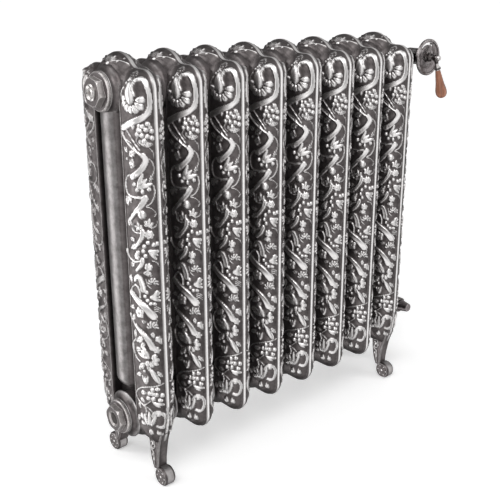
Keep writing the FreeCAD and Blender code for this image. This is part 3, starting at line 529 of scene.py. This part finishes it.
def flank_rows(legs):
    """Inner and outer points of every row round the section: front, top, rear, bottom."""
    height = HUB_HIGH - HUB_LOW
    rows = []
    for side, step in ((-1, FRONT_STEP), (1, REAR_STEP)):
        count = int(height / step)
        z = HUB_LOW + height * np.arange(count) / count
        if side > 0:
            z = HUB_HIGH + HUB_LOW - z
        edge = np.full(count, HALF_DEPTH)
        if legs:
            edge = np.minimum(edge, np.interp(z, *np.array(LEG_OUTER).T) - 0.5)
        straight = [np.stack([side * r, z], -1) for r in (np.full(count, PANEL), edge)]
        rows.append(np.stack(straight, 1))
        centre, start = (HUB_HIGH, math.pi) if side < 0 else (HUB_LOW, 2 * math.pi)
        bearing = start - math.pi * np.arange(FAN_ROWS) / FAN_ROWS
        reach = outline_reach(centre, bearing, legs)
        fan = [np.stack([r * np.cos(bearing), centre + r * np.sin(bearing)], -1)
               for r in (np.full(FAN_ROWS, PANEL), reach)]
        rows.append(np.stack(fan, 1))
    return np.vstack(rows)


def flank_surface(rows, legs):
    """The smooth flank: its points, their depth inside the outline, and the normals."""
    arc = np.linspace(FLANK_ARC, 0, int(FLANK_ARC / FRONT_STEP) + 1)
    share = 1 - depth_at(arc) / (HALF_DEPTH - PANEL)
    inner, outer = rows[:, None, 0, :], rows[:, None, 1, :]
    yz = inner + (outer - inner) * share[None, :, None]
    depth = inset(yz[..., 0], yz[..., 1], legs)
    depth[:, -1] = 0
    points = np.concatenate([half_thickness(depth)[..., None], yz], -1)
    along_rows = np.roll(points, -1, 0) - np.roll(points, 1, 0)
    normal = np.cross(np.gradient(points, axis=1), along_rows)
    normal /= np.maximum(np.linalg.norm(normal, axis=-1, keepdims=True), 1e-9)
    normal *= np.where(normal[..., :1] < 0, -1, 1)
    return points, depth, normal, share


def flank_relief(y, z, from_ridge):
    """Height of the ornament over the flank, faded out at the ridge, the panel and the ends."""
    a = FLANK_ARC - arc_at(np.clip(HALF_DEPTH - np.abs(y), 0, HALF_DEPTH - PANEL))
    relief = Relief(a, z)
    flank_ornament(relief)
    relief.height *= smoothstep(2.6, 5.0, from_ridge) * smoothstep(0, 2.0, a)
    relief.height *= 1 - smoothstep(PATTERN_TOP - 3, PATTERN_TOP + 3, z)
    relief.height *= smoothstep(PATTERN_LOW - 4, PATTERN_LOW + 4, z)
    crown = Relief(np.abs(y), z)
    crown_ornament(crown)
    return relief.height + crown.height * smoothstep(3.0, 5.5, from_ridge) * smoothstep(750, 752, z)


def section_shell(legs):
    """One section's two ornamented flanks, its edge and the walls round the open middle."""
    rows = flank_rows(legs)
    points, depth, normal, share = flank_surface(rows, legs)
    y, z = points[..., 1], points[..., 2]
    from_ridge = arc_at(np.clip(depth, 0, HALF_DEPTH - PANEL))
    height = flank_relief(y, z, from_ridge)
    polish_and_shade = polish_and_shade_of(height)
    # Polish dimmed towards the rear: a painted shade on the rear half of both flanks.
    polish_and_shade = np.where(polish_and_shade > 0, polish_and_shade * (1 - 0.5 * smoothstep(0, 30, y)), polish_and_shade)

    inner_bead = 1.9 * np.exp(-((share[None, :] * (HALF_DEPTH - PANEL) - 1.4) / 1.5) ** 2)
    ridge = 0.5 * (1 - smoothstep(1.0, 2.4, from_ridge))
    groove = 0.8 * np.exp(-((from_ridge - 4.2) / 1.2) ** 2)
    points = points + normal * (height + ridge - groove + inner_bead)[..., None]
    # The ridge's polish is dimmed over the crest, a painted shade, and it is also lowered near the
    # floor.
    straight = 1 - 0.35 * smoothstep(SHOULDER + 2, CREST_TOP, z) - 0.4 * (1 - smoothstep(95, 120, z))
    on_ridge = 1 - smoothstep(1.2, 2.3, from_ridge)
    polish_and_shade = np.where(on_ridge > 0, np.maximum(polish_and_shade, 0.85 * straight * on_ridge), polish_and_shade)
    polish_and_shade = np.maximum(polish_and_shade, 0.4 * smoothstep(0.9, 1.7, inner_bead))

    wall_x = np.array([9.0, 16.0, 22.0])
    wall = np.repeat(rows[:, None, 0, :], len(wall_x), axis=1)
    wall = np.concatenate([np.broadcast_to(wall_x[None, :, None], wall.shape[:2] + (1,)), wall], -1)
    points = np.concatenate([wall, points], 1)
    # The walls round the open middle are painted dark: painted shade between the flanks.
    polish_and_shade = np.concatenate([np.full(wall.shape[:2], SHADE_BLACK / 2), polish_and_shade], 1)

    shell = Shell()
    right = shell.grid(points, polish_and_shade, loop_rows=True)
    left = shell.grid(points * MIRROR_X, polish_and_shade, loop_rows=True, flip=True)
    for column, flip in ((-1, False), (0, True)):
        bridge = np.stack([right[:-1, column], left[:-1, column], left[1:, column],
                           right[1:, column]], -1)
        shell.quads(bridge[:, ::-1] if flip else bridge)
    return shell


def crown_ornament(relief):
    """Palmette on the crest, a leaf that hugs the arch, and a ring on the shoulder.

    Here a is the distance from the middle, measured straight across.
    """
    relief.petal(12, 777, -36, 42, 12, 1.0, 0.4, 0.45)
    for angle, length in ((90, 12), (64, 13), (40, 15), (20, 18)):
        relief.petal(1.5, 778, angle, length, 4.2, 1.7, 0.8, 0.6)
    relief.line([(10, 780), (24, 781), (38, 777), (50, 769)], 1.7, 1.4)
    relief.bunch([(28, 785), (21, 780), (10, 786)], 2.2)
    relief.berry(1, 776, 3.2, 2.6)
    ring = np.hypot(relief.a - 67, relief.z - 761)
    relief.raise_to(1.6 * np.exp(-((ring - 6.5) / 1.2) ** 2))
    relief.berry(67, 761, 2.2, 1.8)
    relief.berry(81, 757, 5.5, 2.2)


def blur(field, turns):
    for turn in range(turns):
        field = (np.roll(field, 1, 0) + 2 * field + np.roll(field, -1, 0)) / 4
        padded = np.pad(field, ((0, 0), (1, 1)), mode="edge")
        field = (padded[:, :-2] + 2 * field + padded[:, 2:]) / 4
    return field


def polish_and_shade_of(height):
    """Raised metal is polished, 1; the ground is 0; painted shade in the creases, below 0, where the
    polish is dimmed too.
    """
    # Painted shade: where the blurred relief stands over a point, in creases and hollows, the polish is
    # dimmed and the metal is painted near black.
    crease = blur(height, 4) - height
    polish_and_shade = smoothstep(0.5, 1.9, height) * (1 - smoothstep(0.12, 0.55, crease))
    shade_black = smoothstep(0.04, 0.42, blur(height, 9) - height)
    return polish_and_shade - 1.1 * shade_black * (1 - polish_and_shade)


# ---- tube, web, legs and dial --------------------

def lathe(shell, profile, origin, axis, segments):
    """A surface turned about an axis; profile is (distance along the axis, radius, polish)."""
    axis = Vector(axis).normalized()
    side = axis.orthogonal().normalized()
    other = axis.cross(side)
    profile = np.array(profile, float)
    angle = np.linspace(0, 2 * math.pi, segments, endpoint=False)
    ring = np.cos(angle)[:, None] * np.array(side) + np.sin(angle)[:, None] * np.array(other)
    points = (np.array(origin) + profile[:, None, :1] * np.array(axis)
              + profile[:, None, 1:2] * ring[None])
    shell.grid(points, profile[:, None, 2], loop_columns=True, flip=True)


def tube_shell(left=HUB_HALF, right=HUB_HALF):
    """The plain middle column and the two hub bosses, which reach left and right of it."""
    shell = Shell()
    dome_top = TUBE_FOOT + TUBE_DOME
    rows = np.concatenate([TUBE_FOOT + TUBE_DOME * (1 - np.cos(np.linspace(0, math.pi / 2, 14))),
                           np.linspace(dome_top + 12, HUB_HIGH + 10, 40)])
    size = np.sqrt(np.clip(1 - np.clip((dome_top - rows) / TUBE_DOME, 0, 1) ** 2, 1e-6, 1))[:, None]
    angle = np.linspace(0, 2 * math.pi, 96, endpoint=False)
    points = np.stack([TUBE_HALF[0] * size * np.cos(angle)[None],
                       TUBE_HALF[1] * size * np.sin(angle)[None],
                       np.repeat(rows[:, None], 96, 1)], -1)
    # Painted shade: the sides of the tube that face the flanks' walls are painted near black.
    wall_shade = smoothstep(0.45, 0.95, np.abs(np.sin(angle)))[None]
    wall_shade = wall_shade * (1 - smoothstep(0, 1, 1 - size))
    shell.grid(points, 0.3 + (SHADE_BLACK - 0.3) * wall_shade, loop_columns=True)
    face = [(HUB_HALF, 22, 0), (HUB_HALF, 33.2, 0.15), (HUB_HALF - 0.8, 33.9, 0.45)]
    plain = face + [(43.4, 34.1, 0.1), (41, 34.4, 0.1), (38.6, 35.4, 0.1), (36.2, 37.6, 0.12),
                    (34, 40.2, 0.2), (32, 42.2, 0.1), (29, 43.4, 0), (20, 43.8, 0)]
    bell = face + [(43.2, 34.1, 0.1), (41, 34.7, 0.05), (38.8, 36.4, 0.1), (36.8, 39.4, 0.15),
                   (35, 43.2, 0.3), (33.9, 45, 0.45), (32.6, 45.6, 0.6), (31.2, 45.2, 0.2),
                   (29.4, 43, 0), (26, 41, 0), (20, 40, 0)]
    for centre, half in ((HUB_LOW, bell), (HUB_HIGH, plain)):
        profile = []
        for reach, sign in ((right, 1), (left, -1)):
            stretched = (0, 18, reach - HUB_HALF + 29, reach)
            turned = [(sign * np.interp(x, (0, 20, 29, HUB_HALF), stretched), radius, polish_and_shade)
                      for x, radius, polish_and_shade in half]
            profile += turned if sign > 0 else turned[::-1]
        lathe(shell, profile, (0, 0, centre), (1, 0, 0), 96)
    return shell


def web_shell():
    """The flat web behind the tube."""
    shell = Shell()
    for side in (-1, 1):
        y = np.linspace(-PANEL - 0.5, PANEL + 0.5, 12)
        z = np.linspace(HUB_LOW, HUB_HIGH, 40)
        grid = np.stack(np.meshgrid(y, z), -1)
        points = np.concatenate([np.full(grid.shape[:2] + (1,), side * WEB_HALF), grid], -1)
        shell.grid(points, 0.0, flip=side < 0)
    return shell


def leg_loop():
    """Points and polish round a cabriole leg: leafy side, front band, other side, back band."""
    stations = np.linspace(113, 28, 88)
    inner = np.array(spline(LEG_INNER))[::-1]
    outer = np.array(spline(LEG_FRONT))[::-1]
    low = np.interp(stations, inner[:, 0], inner[:, 1])[:, None]
    high = np.interp(stations, outer[:, 0], outer[:, 1])[:, None]
    a = np.linspace(0, 1, 30)[None, :] * (high - low)
    z = np.repeat(stations[:, None], 30, 1)
    from_outer = high - low - a
    relief = Relief(a, z)
    leg_ornament(relief)
    height = relief.height * smoothstep(2.0, 4.0, a) * smoothstep(4.5, 6.5, from_outer)
    sunk = 1.6 * smoothstep(1.6, 3.2, a) * smoothstep(3.6, 5.2, from_outer)
    round_off = 2.2 * (1 - smoothstep(0, 2.4, from_outer)) + 1.6 * (1 - smoothstep(0, 2.0, a))
    face = np.stack([LEG_HALF + height - sunk - round_off, low + a, z], -1)
    polish_and_shade = np.maximum(SHADE_BLACK / 3 + 0.9 * smoothstep(0.6, 2.8, height),
                        0.5 * np.exp(-((from_outer - 3.4) / 0.8) ** 2))
    polish_and_shade = np.maximum(polish_and_shade, 0.3 * (1 - smoothstep(2.0, 3.0, from_outer)))

    band_x = BAND[None] * (LEG_HALF - 1.4)
    bulge = 1.2 * (1 - BAND[None] ** 2)
    front = np.stack(np.broadcast_arrays(band_x, high + bulge, stations[:, None]), -1)
    back = np.stack(np.broadcast_arrays(-band_x, low - 0.6 * bulge, stations[:, None]), -1)
    plain = np.zeros(front.shape[:2])
    return (np.concatenate([face, front, (face * MIRROR_X)[:, ::-1], back], 1),
            np.concatenate([polish_and_shade, plain, polish_and_shade[:, ::-1], plain], 1))


def foot_loop():
    """Points and polish over a scroll foot: one cheek with its rosette, the tread, the other."""
    angle = np.linspace(0, 2 * math.pi, 96, endpoint=False)
    reach = np.concatenate([[0.2], np.linspace(1, FOOT_RADIUS, 26)])
    radius, bearing = np.meshgrid(reach, angle)
    rosette = Relief(radius * np.cos(bearing), radius * np.sin(bearing))
    rosette.flower(0, 0, 13.4, 6, 1.5, 30, 0.26)
    for i in range(6):
        spot = math.radians(60 * i)
        rosette.berry(11.4 * math.cos(spot), 11.4 * math.sin(spot), 1.9, 2.2)
    rim = 1.7 * np.exp(-((radius - FOOT_RADIUS + 2.6) / 1.3) ** 2)
    rise = rosette.height * 0.8 + rim - 1.2 - 1.4 * smoothstep(FOOT_RADIUS - 1.6, FOOT_RADIUS, radius)
    gleam = np.maximum(SHADE_BLACK / 2 + 1.6 * smoothstep(1.0, 1.9, rosette.height),
                       0.35 * smoothstep(0.9, 1.5, rim))
    cheek = np.stack([LEG_HALF + rise, FOOT_Y + radius * np.cos(bearing),
                      FOOT_Z + radius * np.sin(bearing)], -1)
    tread = np.stack(np.broadcast_arrays(BAND[None] * (LEG_HALF - 2.6),
                                         FOOT_Y + FOOT_RADIUS * np.cos(angle)[:, None],
                                         FOOT_Z + FOOT_RADIUS * np.sin(angle)[:, None]), -1)
    points = np.concatenate([cheek, tread, (cheek * MIRROR_X)[:, ::-1]], 1)
    points[..., 2] = np.maximum(points[..., 2], 0.0)
    return points, np.concatenate([gleam, np.full(tread.shape[:2], 0.35), gleam[:, ::-1]], 1)


def leg_shell(side):
    """A cabriole leg on its scroll foot; side is -1 for the front one and 1 for the rear."""
    shell = Shell()
    turn = np.array([1, side, 1])
    points, polish_and_shade = leg_loop()
    shell.grid(points * turn, polish_and_shade, loop_columns=True, flip=side < 0)
    points, polish_and_shade = foot_loop()
    shell.grid(points * turn, polish_and_shade, loop_rows=True, flip=side > 0)
    return shell


def dial_rays():
    """Embossed rays round the dial's middle and a bead line inside its rim."""
    shell = Shell()
    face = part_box("dial_plate")[0].y / MM + DIAL_RIM
    bearing = np.linspace(0, 2 * math.pi, 480, endpoint=False)[:, None]
    for low, high, columns, beads in ((10.0, 26.0, 30, 0), (32.6, 35.2, 14, 72)):
        radius = np.linspace(low, high, columns)[None, :]
        share = (radius - low) / (high - low)
        window = np.sin(math.pi * share) ** 0.5
        if beads:
            rise = 0.8 * window * np.abs(np.sin(0.5 * beads * bearing)) ** 0.7
        else:
            rays = np.abs(np.cos(14 * bearing))
            collar = np.exp(-((share - 0.12) / 0.07) ** 2) + np.exp(-((share - 0.93) / 0.04) ** 2)
            rise = window * np.maximum(1.3 * rays * smoothstep(0.2, 0.3, share), 0.7 * collar)
        y = face + 0.15 - 0.7 * (rise + 0.15 * (window > 0.3))
        shell.grid(np.stack(np.broadcast_arrays(radius * np.cos(bearing), y,
                                                radius * np.sin(bearing)), -1), loop_rows=True)
    return shell


def leg_ornament(relief):
    """Leaf scrolls down the side of a leg; a is the distance from its inner edge."""
    relief.petal(4, 92, 62, 17, 7, 3.0, 0.8, 0.6)
    relief.petal(20, 108, 215, 19, 8, 3.0, 0.6)
    relief.petal(30, 112, 232, 17, 7, 3.0, 0.6)
    relief.line([(8, 88), (14, 90), (18, 84), (17, 75), (12, 69), (7, 73), (7, 82), (11, 85)],
                2.6, 2.8)
    relief.petal(9, 74, 62, 13, 6, 3.2, 0.8, 0.6)
    relief.line([(4, 72), (7, 66), (12, 61), (11, 52), (7, 45)], 2.4, 2.8)
    relief.petal(6, 62, -78, 12, 5, 2.6, 0.5)
    relief.petal(12, 58, -98, 16, 4.5, 2.6, 0.5)
    relief.line([(7, 46), (8, 40), (7, 33)], 2.2, 2.4)
    relief.berry(5, 55, 2.0, 2.2)
    relief.berry(9, 42, 1.7, 2.0)


# ---- materials --------------------

class Tree:
    """A node tree, with short ways to add nodes and feed them."""

    def __init__(self, owner):
        owner.use_nodes = True
        self.tree = owner.node_tree
        self.tree.nodes.clear()

    def add(self, kind, inputs=None, **settings):
        """A new node; each input is fed with a value or with another node's output."""
        node = self.tree.nodes.new(kind)
        for key, value in settings.items():
            setattr(node, key, value)
        for key, value in (inputs or {}).items():
            self.feed(node.inputs[key], value)
        return node

    def feed(self, socket, value):
        if isinstance(value, bpy.types.NodeSocket):
            self.tree.links.new(value, socket)
        else:
            socket.default_value = value

    def math(self, operation, first, second):
        return self.add("ShaderNodeMath", {0: first, 1: second}, operation=operation).outputs[0]

    def times(self, first, second):
        return self.math("MULTIPLY", first, second)

    def total(self, first, second):
        return self.math("ADD", first, second)

    def dot(self, first, second):
        node = self.add("ShaderNodeVectorMath", {0: first, 1: second}, operation="DOT_PRODUCT")
        return node.outputs["Value"]

    def spread(self, source, low, high, to_low=0.0, to_high=1.0, kind="LINEAR"):
        ends = {"Value": source, "From Min": low, "From Max": high, "To Min": to_low, "To Max": to_high}
        return self.add("ShaderNodeMapRange", ends, interpolation_type=kind).outputs["Result"]


class Nodes(Tree):
    """A material's nodes."""

    def __init__(self, name):
        self.material = bpy.data.materials.new(name + "_finish")
        super().__init__(self.material)
        self.shader = self.add("ShaderNodeBsdfPrincipled")
        self.add("ShaderNodeOutputMaterial", {"Surface": self.shader.outputs["BSDF"]})

    def surface(self, **inputs):
        """Feed the shader; an underscore stands for a space in an input's name."""
        for key, value in inputs.items():
            self.feed(self.shader.inputs[key.replace("_", " ")], value)

    def noise(self, scale, detail=4.0, roughness=0.55, stretch=(1, 1, 1)):
        where = self.add("ShaderNodeTexCoord").outputs["Object"]
        mapping = self.add("ShaderNodeMapping", {"Vector": where, "Scale": stretch})
        noise = self.add("ShaderNodeTexNoise", {"Vector": mapping.outputs["Vector"], "Scale": scale,
                                                "Detail": detail, "Roughness": roughness})
        return noise.outputs["Fac"]

    def blend(self, share, first, second):
        first, second = ((*value, 1) if isinstance(value, tuple) else value
                         for value in (first, second))
        return self.add("ShaderNodeMix", {"Factor": share, "A": first, "B": second},
                        data_type="RGBA").outputs["Result"]

    def bump(self, height, strength, distance):
        node = self.add("ShaderNodeBump", {"Height": height, "Strength": strength,
                                           "Distance": distance})
        self.surface(Normal=node.outputs["Normal"])

    def worn_edges(self, radius):
        """1 where faces meet at an edge and 0 on open faces."""
        bevel = self.add("ShaderNodeBevel", {"Radius": radius}, samples=4)
        plain = self.add("ShaderNodeNewGeometry")
        agree = self.dot(bevel.outputs["Normal"], plain.outputs["Normal"])
        return self.spread(agree, 0.997, 0.93)

    def square_to_x(self):
        """1 on faces that look along the stack."""
        along = self.dot(self.add("ShaderNodeNewGeometry").outputs["Normal"], (1, 0, 0))
        return self.spread(self.times(along, along), 0.8, 0.96)


# Near black: painted shade in the creases and between parts, and the darker ground of the legs and
# feet.
IRON_SHADE_BLACK = (0.018, 0.014, 0.014)
IRON_SHADE = (0.07, 0.06, 0.06)
IRON_GROUND = (0.165, 0.149, 0.148)
IRON_BRIGHT = (0.78, 0.76, 0.755)


def burnished_iron():
    """Cast iron whose raised places are polished, with painted shade in its creases and between parts:
    driven by the attribute of polish and painted shade.
    """
    nodes = Nodes("burnished_iron")
    polish_and_shade = nodes.add("ShaderNodeAttribute", attribute_name="polish_and_shade").outputs["Fac"]
    mottle = nodes.noise(70, 6, 0.62)
    fine = nodes.noise(900, 3, 0.6)
    uneven = nodes.spread(mottle, 0.2, 0.8, -0.09, 0.09)
    share = nodes.spread(nodes.total(polish_and_shade, uneven), 0.16, 0.78)
    # Polish below 0 paints the ground near black: painted shade, and the darker ground of legs and
    # feet.
    shade_black = nodes.spread(polish_and_shade, -0.5, 0.02)
    ground = nodes.blend(nodes.spread(mottle, 0.3, 0.72), IRON_SHADE, IRON_GROUND)
    ground = nodes.blend(shade_black, IRON_SHADE_BLACK, ground)
    rough = nodes.total(nodes.spread(share, 0, 1, 0.37, 0.36),
                        nodes.spread(fine, 0.3, 0.7, -0.05, 0.06))
    nodes.surface(Base_Color=nodes.blend(share, ground, IRON_BRIGHT),
                  Metallic=nodes.spread(share, 0, 1, 0.82, 1.0), Roughness=rough)
    nodes.bump(nodes.total(nodes.times(mottle, 0.7), nodes.times(fine, 0.3)), 0.35, 0.0008)
    return nodes.material


def plated(name, shade, light, roughness, edge, metallic=1.0, wear=0.0012, ends=None):
    """Metal with a cloudy patina and rubbed edges; ends is the colour of faces square to X."""
    nodes = Nodes(name)
    cloud = nodes.noise(160, 5, 0.6)
    fine = nodes.noise(1400, 3, 0.6)
    body = nodes.blend(nodes.spread(cloud, 0.3, 0.7), shade, light)
    if ends:
        body = nodes.blend(nodes.square_to_x(), body, ends)
    rubbed = nodes.times(nodes.worn_edges(wear), nodes.spread(fine, 0.2, 0.6, 0.6, 1.0))
    rough = nodes.spread(cloud, 0.25, 0.75, roughness - 0.05, roughness + 0.07)
    nodes.surface(Base_Color=nodes.blend(rubbed, body, edge), Metallic=metallic,
                  Roughness=nodes.total(rough, nodes.times(rubbed, -0.08)))
    nodes.bump(nodes.total(nodes.times(cloud, 0.6), nodes.times(fine, 0.4)), 0.22, 0.0006)
    return nodes.material


def rubber():
    nodes = Nodes("gasket")
    fine = nodes.noise(1800, 4, 0.7)
    nodes.surface(Base_Color=nodes.blend(fine, (0.02, 0.02, 0.02), (0.06, 0.058, 0.055)),
                  Roughness=nodes.spread(fine, 0.2, 0.8, 0.6, 0.85))
    nodes.bump(fine, 0.3, 0.0004)
    return nodes.material


def turned_wood():
    """Oiled hardwood: long grain down the handle with fine pores."""
    nodes = Nodes("wood")
    rings = nodes.noise(38, 4, 0.5, (5, 5, 0.45))
    pores = nodes.noise(420, 4, 0.6, (4, 4, 0.25))
    warm = nodes.blend(nodes.spread(rings, 0.3, 0.7), (0.12, 0.042, 0.022), (0.47, 0.2, 0.11))
    open_wood = nodes.spread(pores, 0.35, 0.6, 0.35, 1.0)
    nodes.surface(Base_Color=nodes.blend(open_wood, (0.2, 0.075, 0.045), warm),
                  Roughness=nodes.spread(pores, 0.3, 0.7, 0.42, 0.3),
                  Coat_Weight=0.25, Coat_Roughness=0.2)
    nodes.bump(pores, 0.25, 0.0005)
    return nodes.material


MATERIALS = {
    "burnished_iron": burnished_iron(),
    "bush_iron": plated("bush_iron", (0.3, 0.275, 0.27), (0.52, 0.49, 0.48), 0.34,
                        (0.85, 0.82, 0.81), metallic=0.7, wear=0.0016, ends=(0.1, 0.088, 0.088)),
    "malleable_iron": plated("malleable_iron", (0.06, 0.05, 0.05), (0.14, 0.12, 0.12), 0.5,
                             (0.3, 0.28, 0.28)),
    "gasket": rubber(),
    "pewter": plated("pewter", (0.05, 0.043, 0.043), (0.13, 0.115, 0.113), 0.3, (0.6, 0.57, 0.56)),
    "dial_pewter": plated("dial_pewter", (0.12, 0.105, 0.105), (0.33, 0.3, 0.3), 0.32,
                          (0.88, 0.85, 0.84)),
    "cap_pewter": plated("cap_pewter", (0.14, 0.12, 0.122), (0.26, 0.23, 0.235), 0.36,
                         (0.66, 0.62, 0.62)),
    "bright_steel": plated("bright_steel", (0.6, 0.575, 0.56), (0.85, 0.82, 0.81), 0.33,
                           (0.9, 0.88, 0.87), ends=(0.17, 0.16, 0.157)),
    "brass": plated("brass", (0.5, 0.33, 0.13), (0.76, 0.57, 0.27), 0.28, (0.9, 0.75, 0.42)),
    "wood": turned_wood(),
}


# ---- build --------------------

def place_copy(name, mesh, where, slot="burnished_iron", body="radiator"):
    if not mesh.materials:
        mesh.materials.append(MATERIALS[slot])
    piece = bpy.data.objects.new(name, mesh)
    bpy.context.scene.collection.objects.link(piece)
    piece.location = Vector(where) * MM
    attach(piece, body)
    return piece


def build_sections():
    plain = section_shell(legs=False).mesh("section_ornament")
    ends = section_shell(legs=True).mesh("end_section_ornament")
    cores = {1: tube_shell(left=HUB_END), SECTION_COUNT: tube_shell(right=HUB_END)}
    cores = {number: shell.mesh("end_core_%d" % number) for number, shell in cores.items()}
    core = tube_shell().mesh("section_core")
    web = web_shell().mesh("section_web")
    legs = [leg_shell(side).mesh("leg_%s" % name) for side, name in ((-1, "front"), (1, "rear"))]
    for number, x in enumerate(SECTION_X, start=1):
        with_legs = number in (1, SECTION_COUNT)
        title = "section_%d_" % number
        where = (x, 0, LIFT)
        ornament = place_copy(title + "ornament", ends if with_legs else plain, where)
        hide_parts("section_%d" % number)
        place_copy(title + "core", cores.get(number, core), where)
        place_copy(title + "web", web, where)
        if with_legs:
            for mesh in legs:
                place_copy(title + mesh.name, mesh, (x, 0, 0))


def build_dial():
    x, y, z = centre_of("dial_plate")
    place_copy("dial_embossing", dial_rays().mesh("dial_embossing"), (x, 0, z), "dial_pewter")


def paint_cad_nodes():
    slots = {part["node"]: part["material_slot"] for part in frame["record"]["subparts"]}
    for name, node in frame["nodes"].items():
        material = MATERIALS[slots[name]]
        for slot in node.material_slots:
            slot.material = material
        if not node.material_slots:
            node.data.materials.append(material)


# ---- studio and camera --------------------

def soft_box(tree, facing, towards, inner, outer, strength):
    """Light from one side of the studio, fading out between two angles from it."""
    return tree.spread(tree.dot(facing, Vector(towards).normalized()), math.cos(math.radians(outer)),
                       math.cos(math.radians(inner)), 0.0, strength, "SMOOTHSTEP")


TALL_BOXES = (((-0.75, 0.66, 0), 6, 22, 3.5), ((-0.95, -0.31, 0), 8, 27, 1.1),
              ((-0.6, -0.8, 0), 8, 38, 0.9), ((0.66, -0.75, 0), 8, 28, 1.7),
              ((1, 0.4, 0), 8, 36, 0.5))    # towards, full to, none from, strength
OVERHEAD = ((-0.1, -0.25, 1), 15, 60, 0.45)
ALL_ROUND = ((0, 0, 1), 179, 180, 0.16)
TALLNESS = 0.15         # how much height counts for the tall boxes


def build_world():
    """Tall soft boxes on three sides, one overhead and a white backdrop."""
    world = bpy.data.worlds.new("studio")
    tree = Tree(world)
    where = tree.add("ShaderNodeTexCoord").outputs["Generated"]
    level = tree.add("ShaderNodeVectorMath", {0: where, 1: (1, 1, TALLNESS)}, operation="MULTIPLY")
    flat = tree.add("ShaderNodeVectorMath", {0: level.outputs["Vector"]}, operation="NORMALIZE")
    light = soft_box(tree, where, *OVERHEAD)
    light = tree.total(light, soft_box(tree, where, *ALL_ROUND))
    for box in TALL_BOXES:
        light = tree.total(light, soft_box(tree, flat.outputs["Vector"], *box))
    studio = tree.add("ShaderNodeBackground", {"Strength": light})
    backdrop = tree.add("ShaderNodeBackground", {"Color": (1, 1, 1, 1)})
    seen = tree.add("ShaderNodeLightPath").outputs["Is Camera Ray"]
    mix = tree.add("ShaderNodeMixShader", {0: seen, 1: studio.outputs["Background"],
                                           2: backdrop.outputs["Background"]})
    tree.add("ShaderNodeOutputWorld", {"Surface": mix.outputs["Shader"]})
    bpy.context.scene.world = world


def build_floor():
    """White paper that glows a little, so that only its shadows are grey."""
    bpy.ops.mesh.primitive_plane_add(size=60, location=(0, 0, 0))
    floor = bpy.context.object
    floor.name = "floor"
    floor.visible_glossy = False
    nodes = Nodes("floor_paper")
    nodes.surface(Base_Color=(0.95, 0.95, 0.95, 1), Roughness=1.0, Specular_IOR_Level=0.0,
                  Emission_Color=(1, 1, 1, 1), Emission_Strength=0.32)
    floor.data.materials.append(nodes.material)


def build_key_light():
    light = bpy.data.lights.new("key", "AREA")
    light.size = 1.6
    light.energy = 28
    lamp = bpy.data.objects.new("key", light)
    bpy.context.scene.collection.objects.link(lamp)
    lamp.location = (-1.9, -1.4, 2.6)
    aim = Vector((STACK_X * MM, 0, 0.4)) - lamp.location
    lamp.rotation_euler = aim.to_track_quat("-Z", "Y").to_euler()


CAMERA_TURN = (-41.19, 19.39, -0.135)       # azimuth, elevation and roll, in degrees
CAMERA_FROM_STACK = (-1036.5, -1144.6, 918.5)
LENS = 57.36            # on a 36 mm sensor


def build_camera():
    azimuth, elevation, roll = (math.radians(angle) for angle in CAMERA_TURN)
    back = Vector((math.sin(azimuth) * math.cos(elevation), -math.cos(azimuth) * math.cos(elevation),
                   math.sin(elevation)))
    right = Vector((0, 0, 1)).cross(back).normalized()
    up = back.cross(right)
    turn = Matrix((right, up, back)).transposed() @ Matrix.Rotation(roll, 3, "Z")
    data = bpy.data.cameras.new("camera")
    data.sensor_width = 36
    data.lens = LENS
    camera = bpy.data.objects.new("camera", data)
    place = Vector(CAMERA_FROM_STACK) + Vector((STACK_X, 0, LIFT))
    camera.matrix_world = Matrix.Translation(place * MM) @ turn.to_4x4()
    bpy.context.scene.collection.objects.link(camera)
    bpy.context.scene.camera = camera


build_sections()
build_dial()
paint_cad_nodes()
build_floor()
build_world()
build_key_light()
build_camera()
bpy.context.scene.view_settings.view_transform = "Standard"
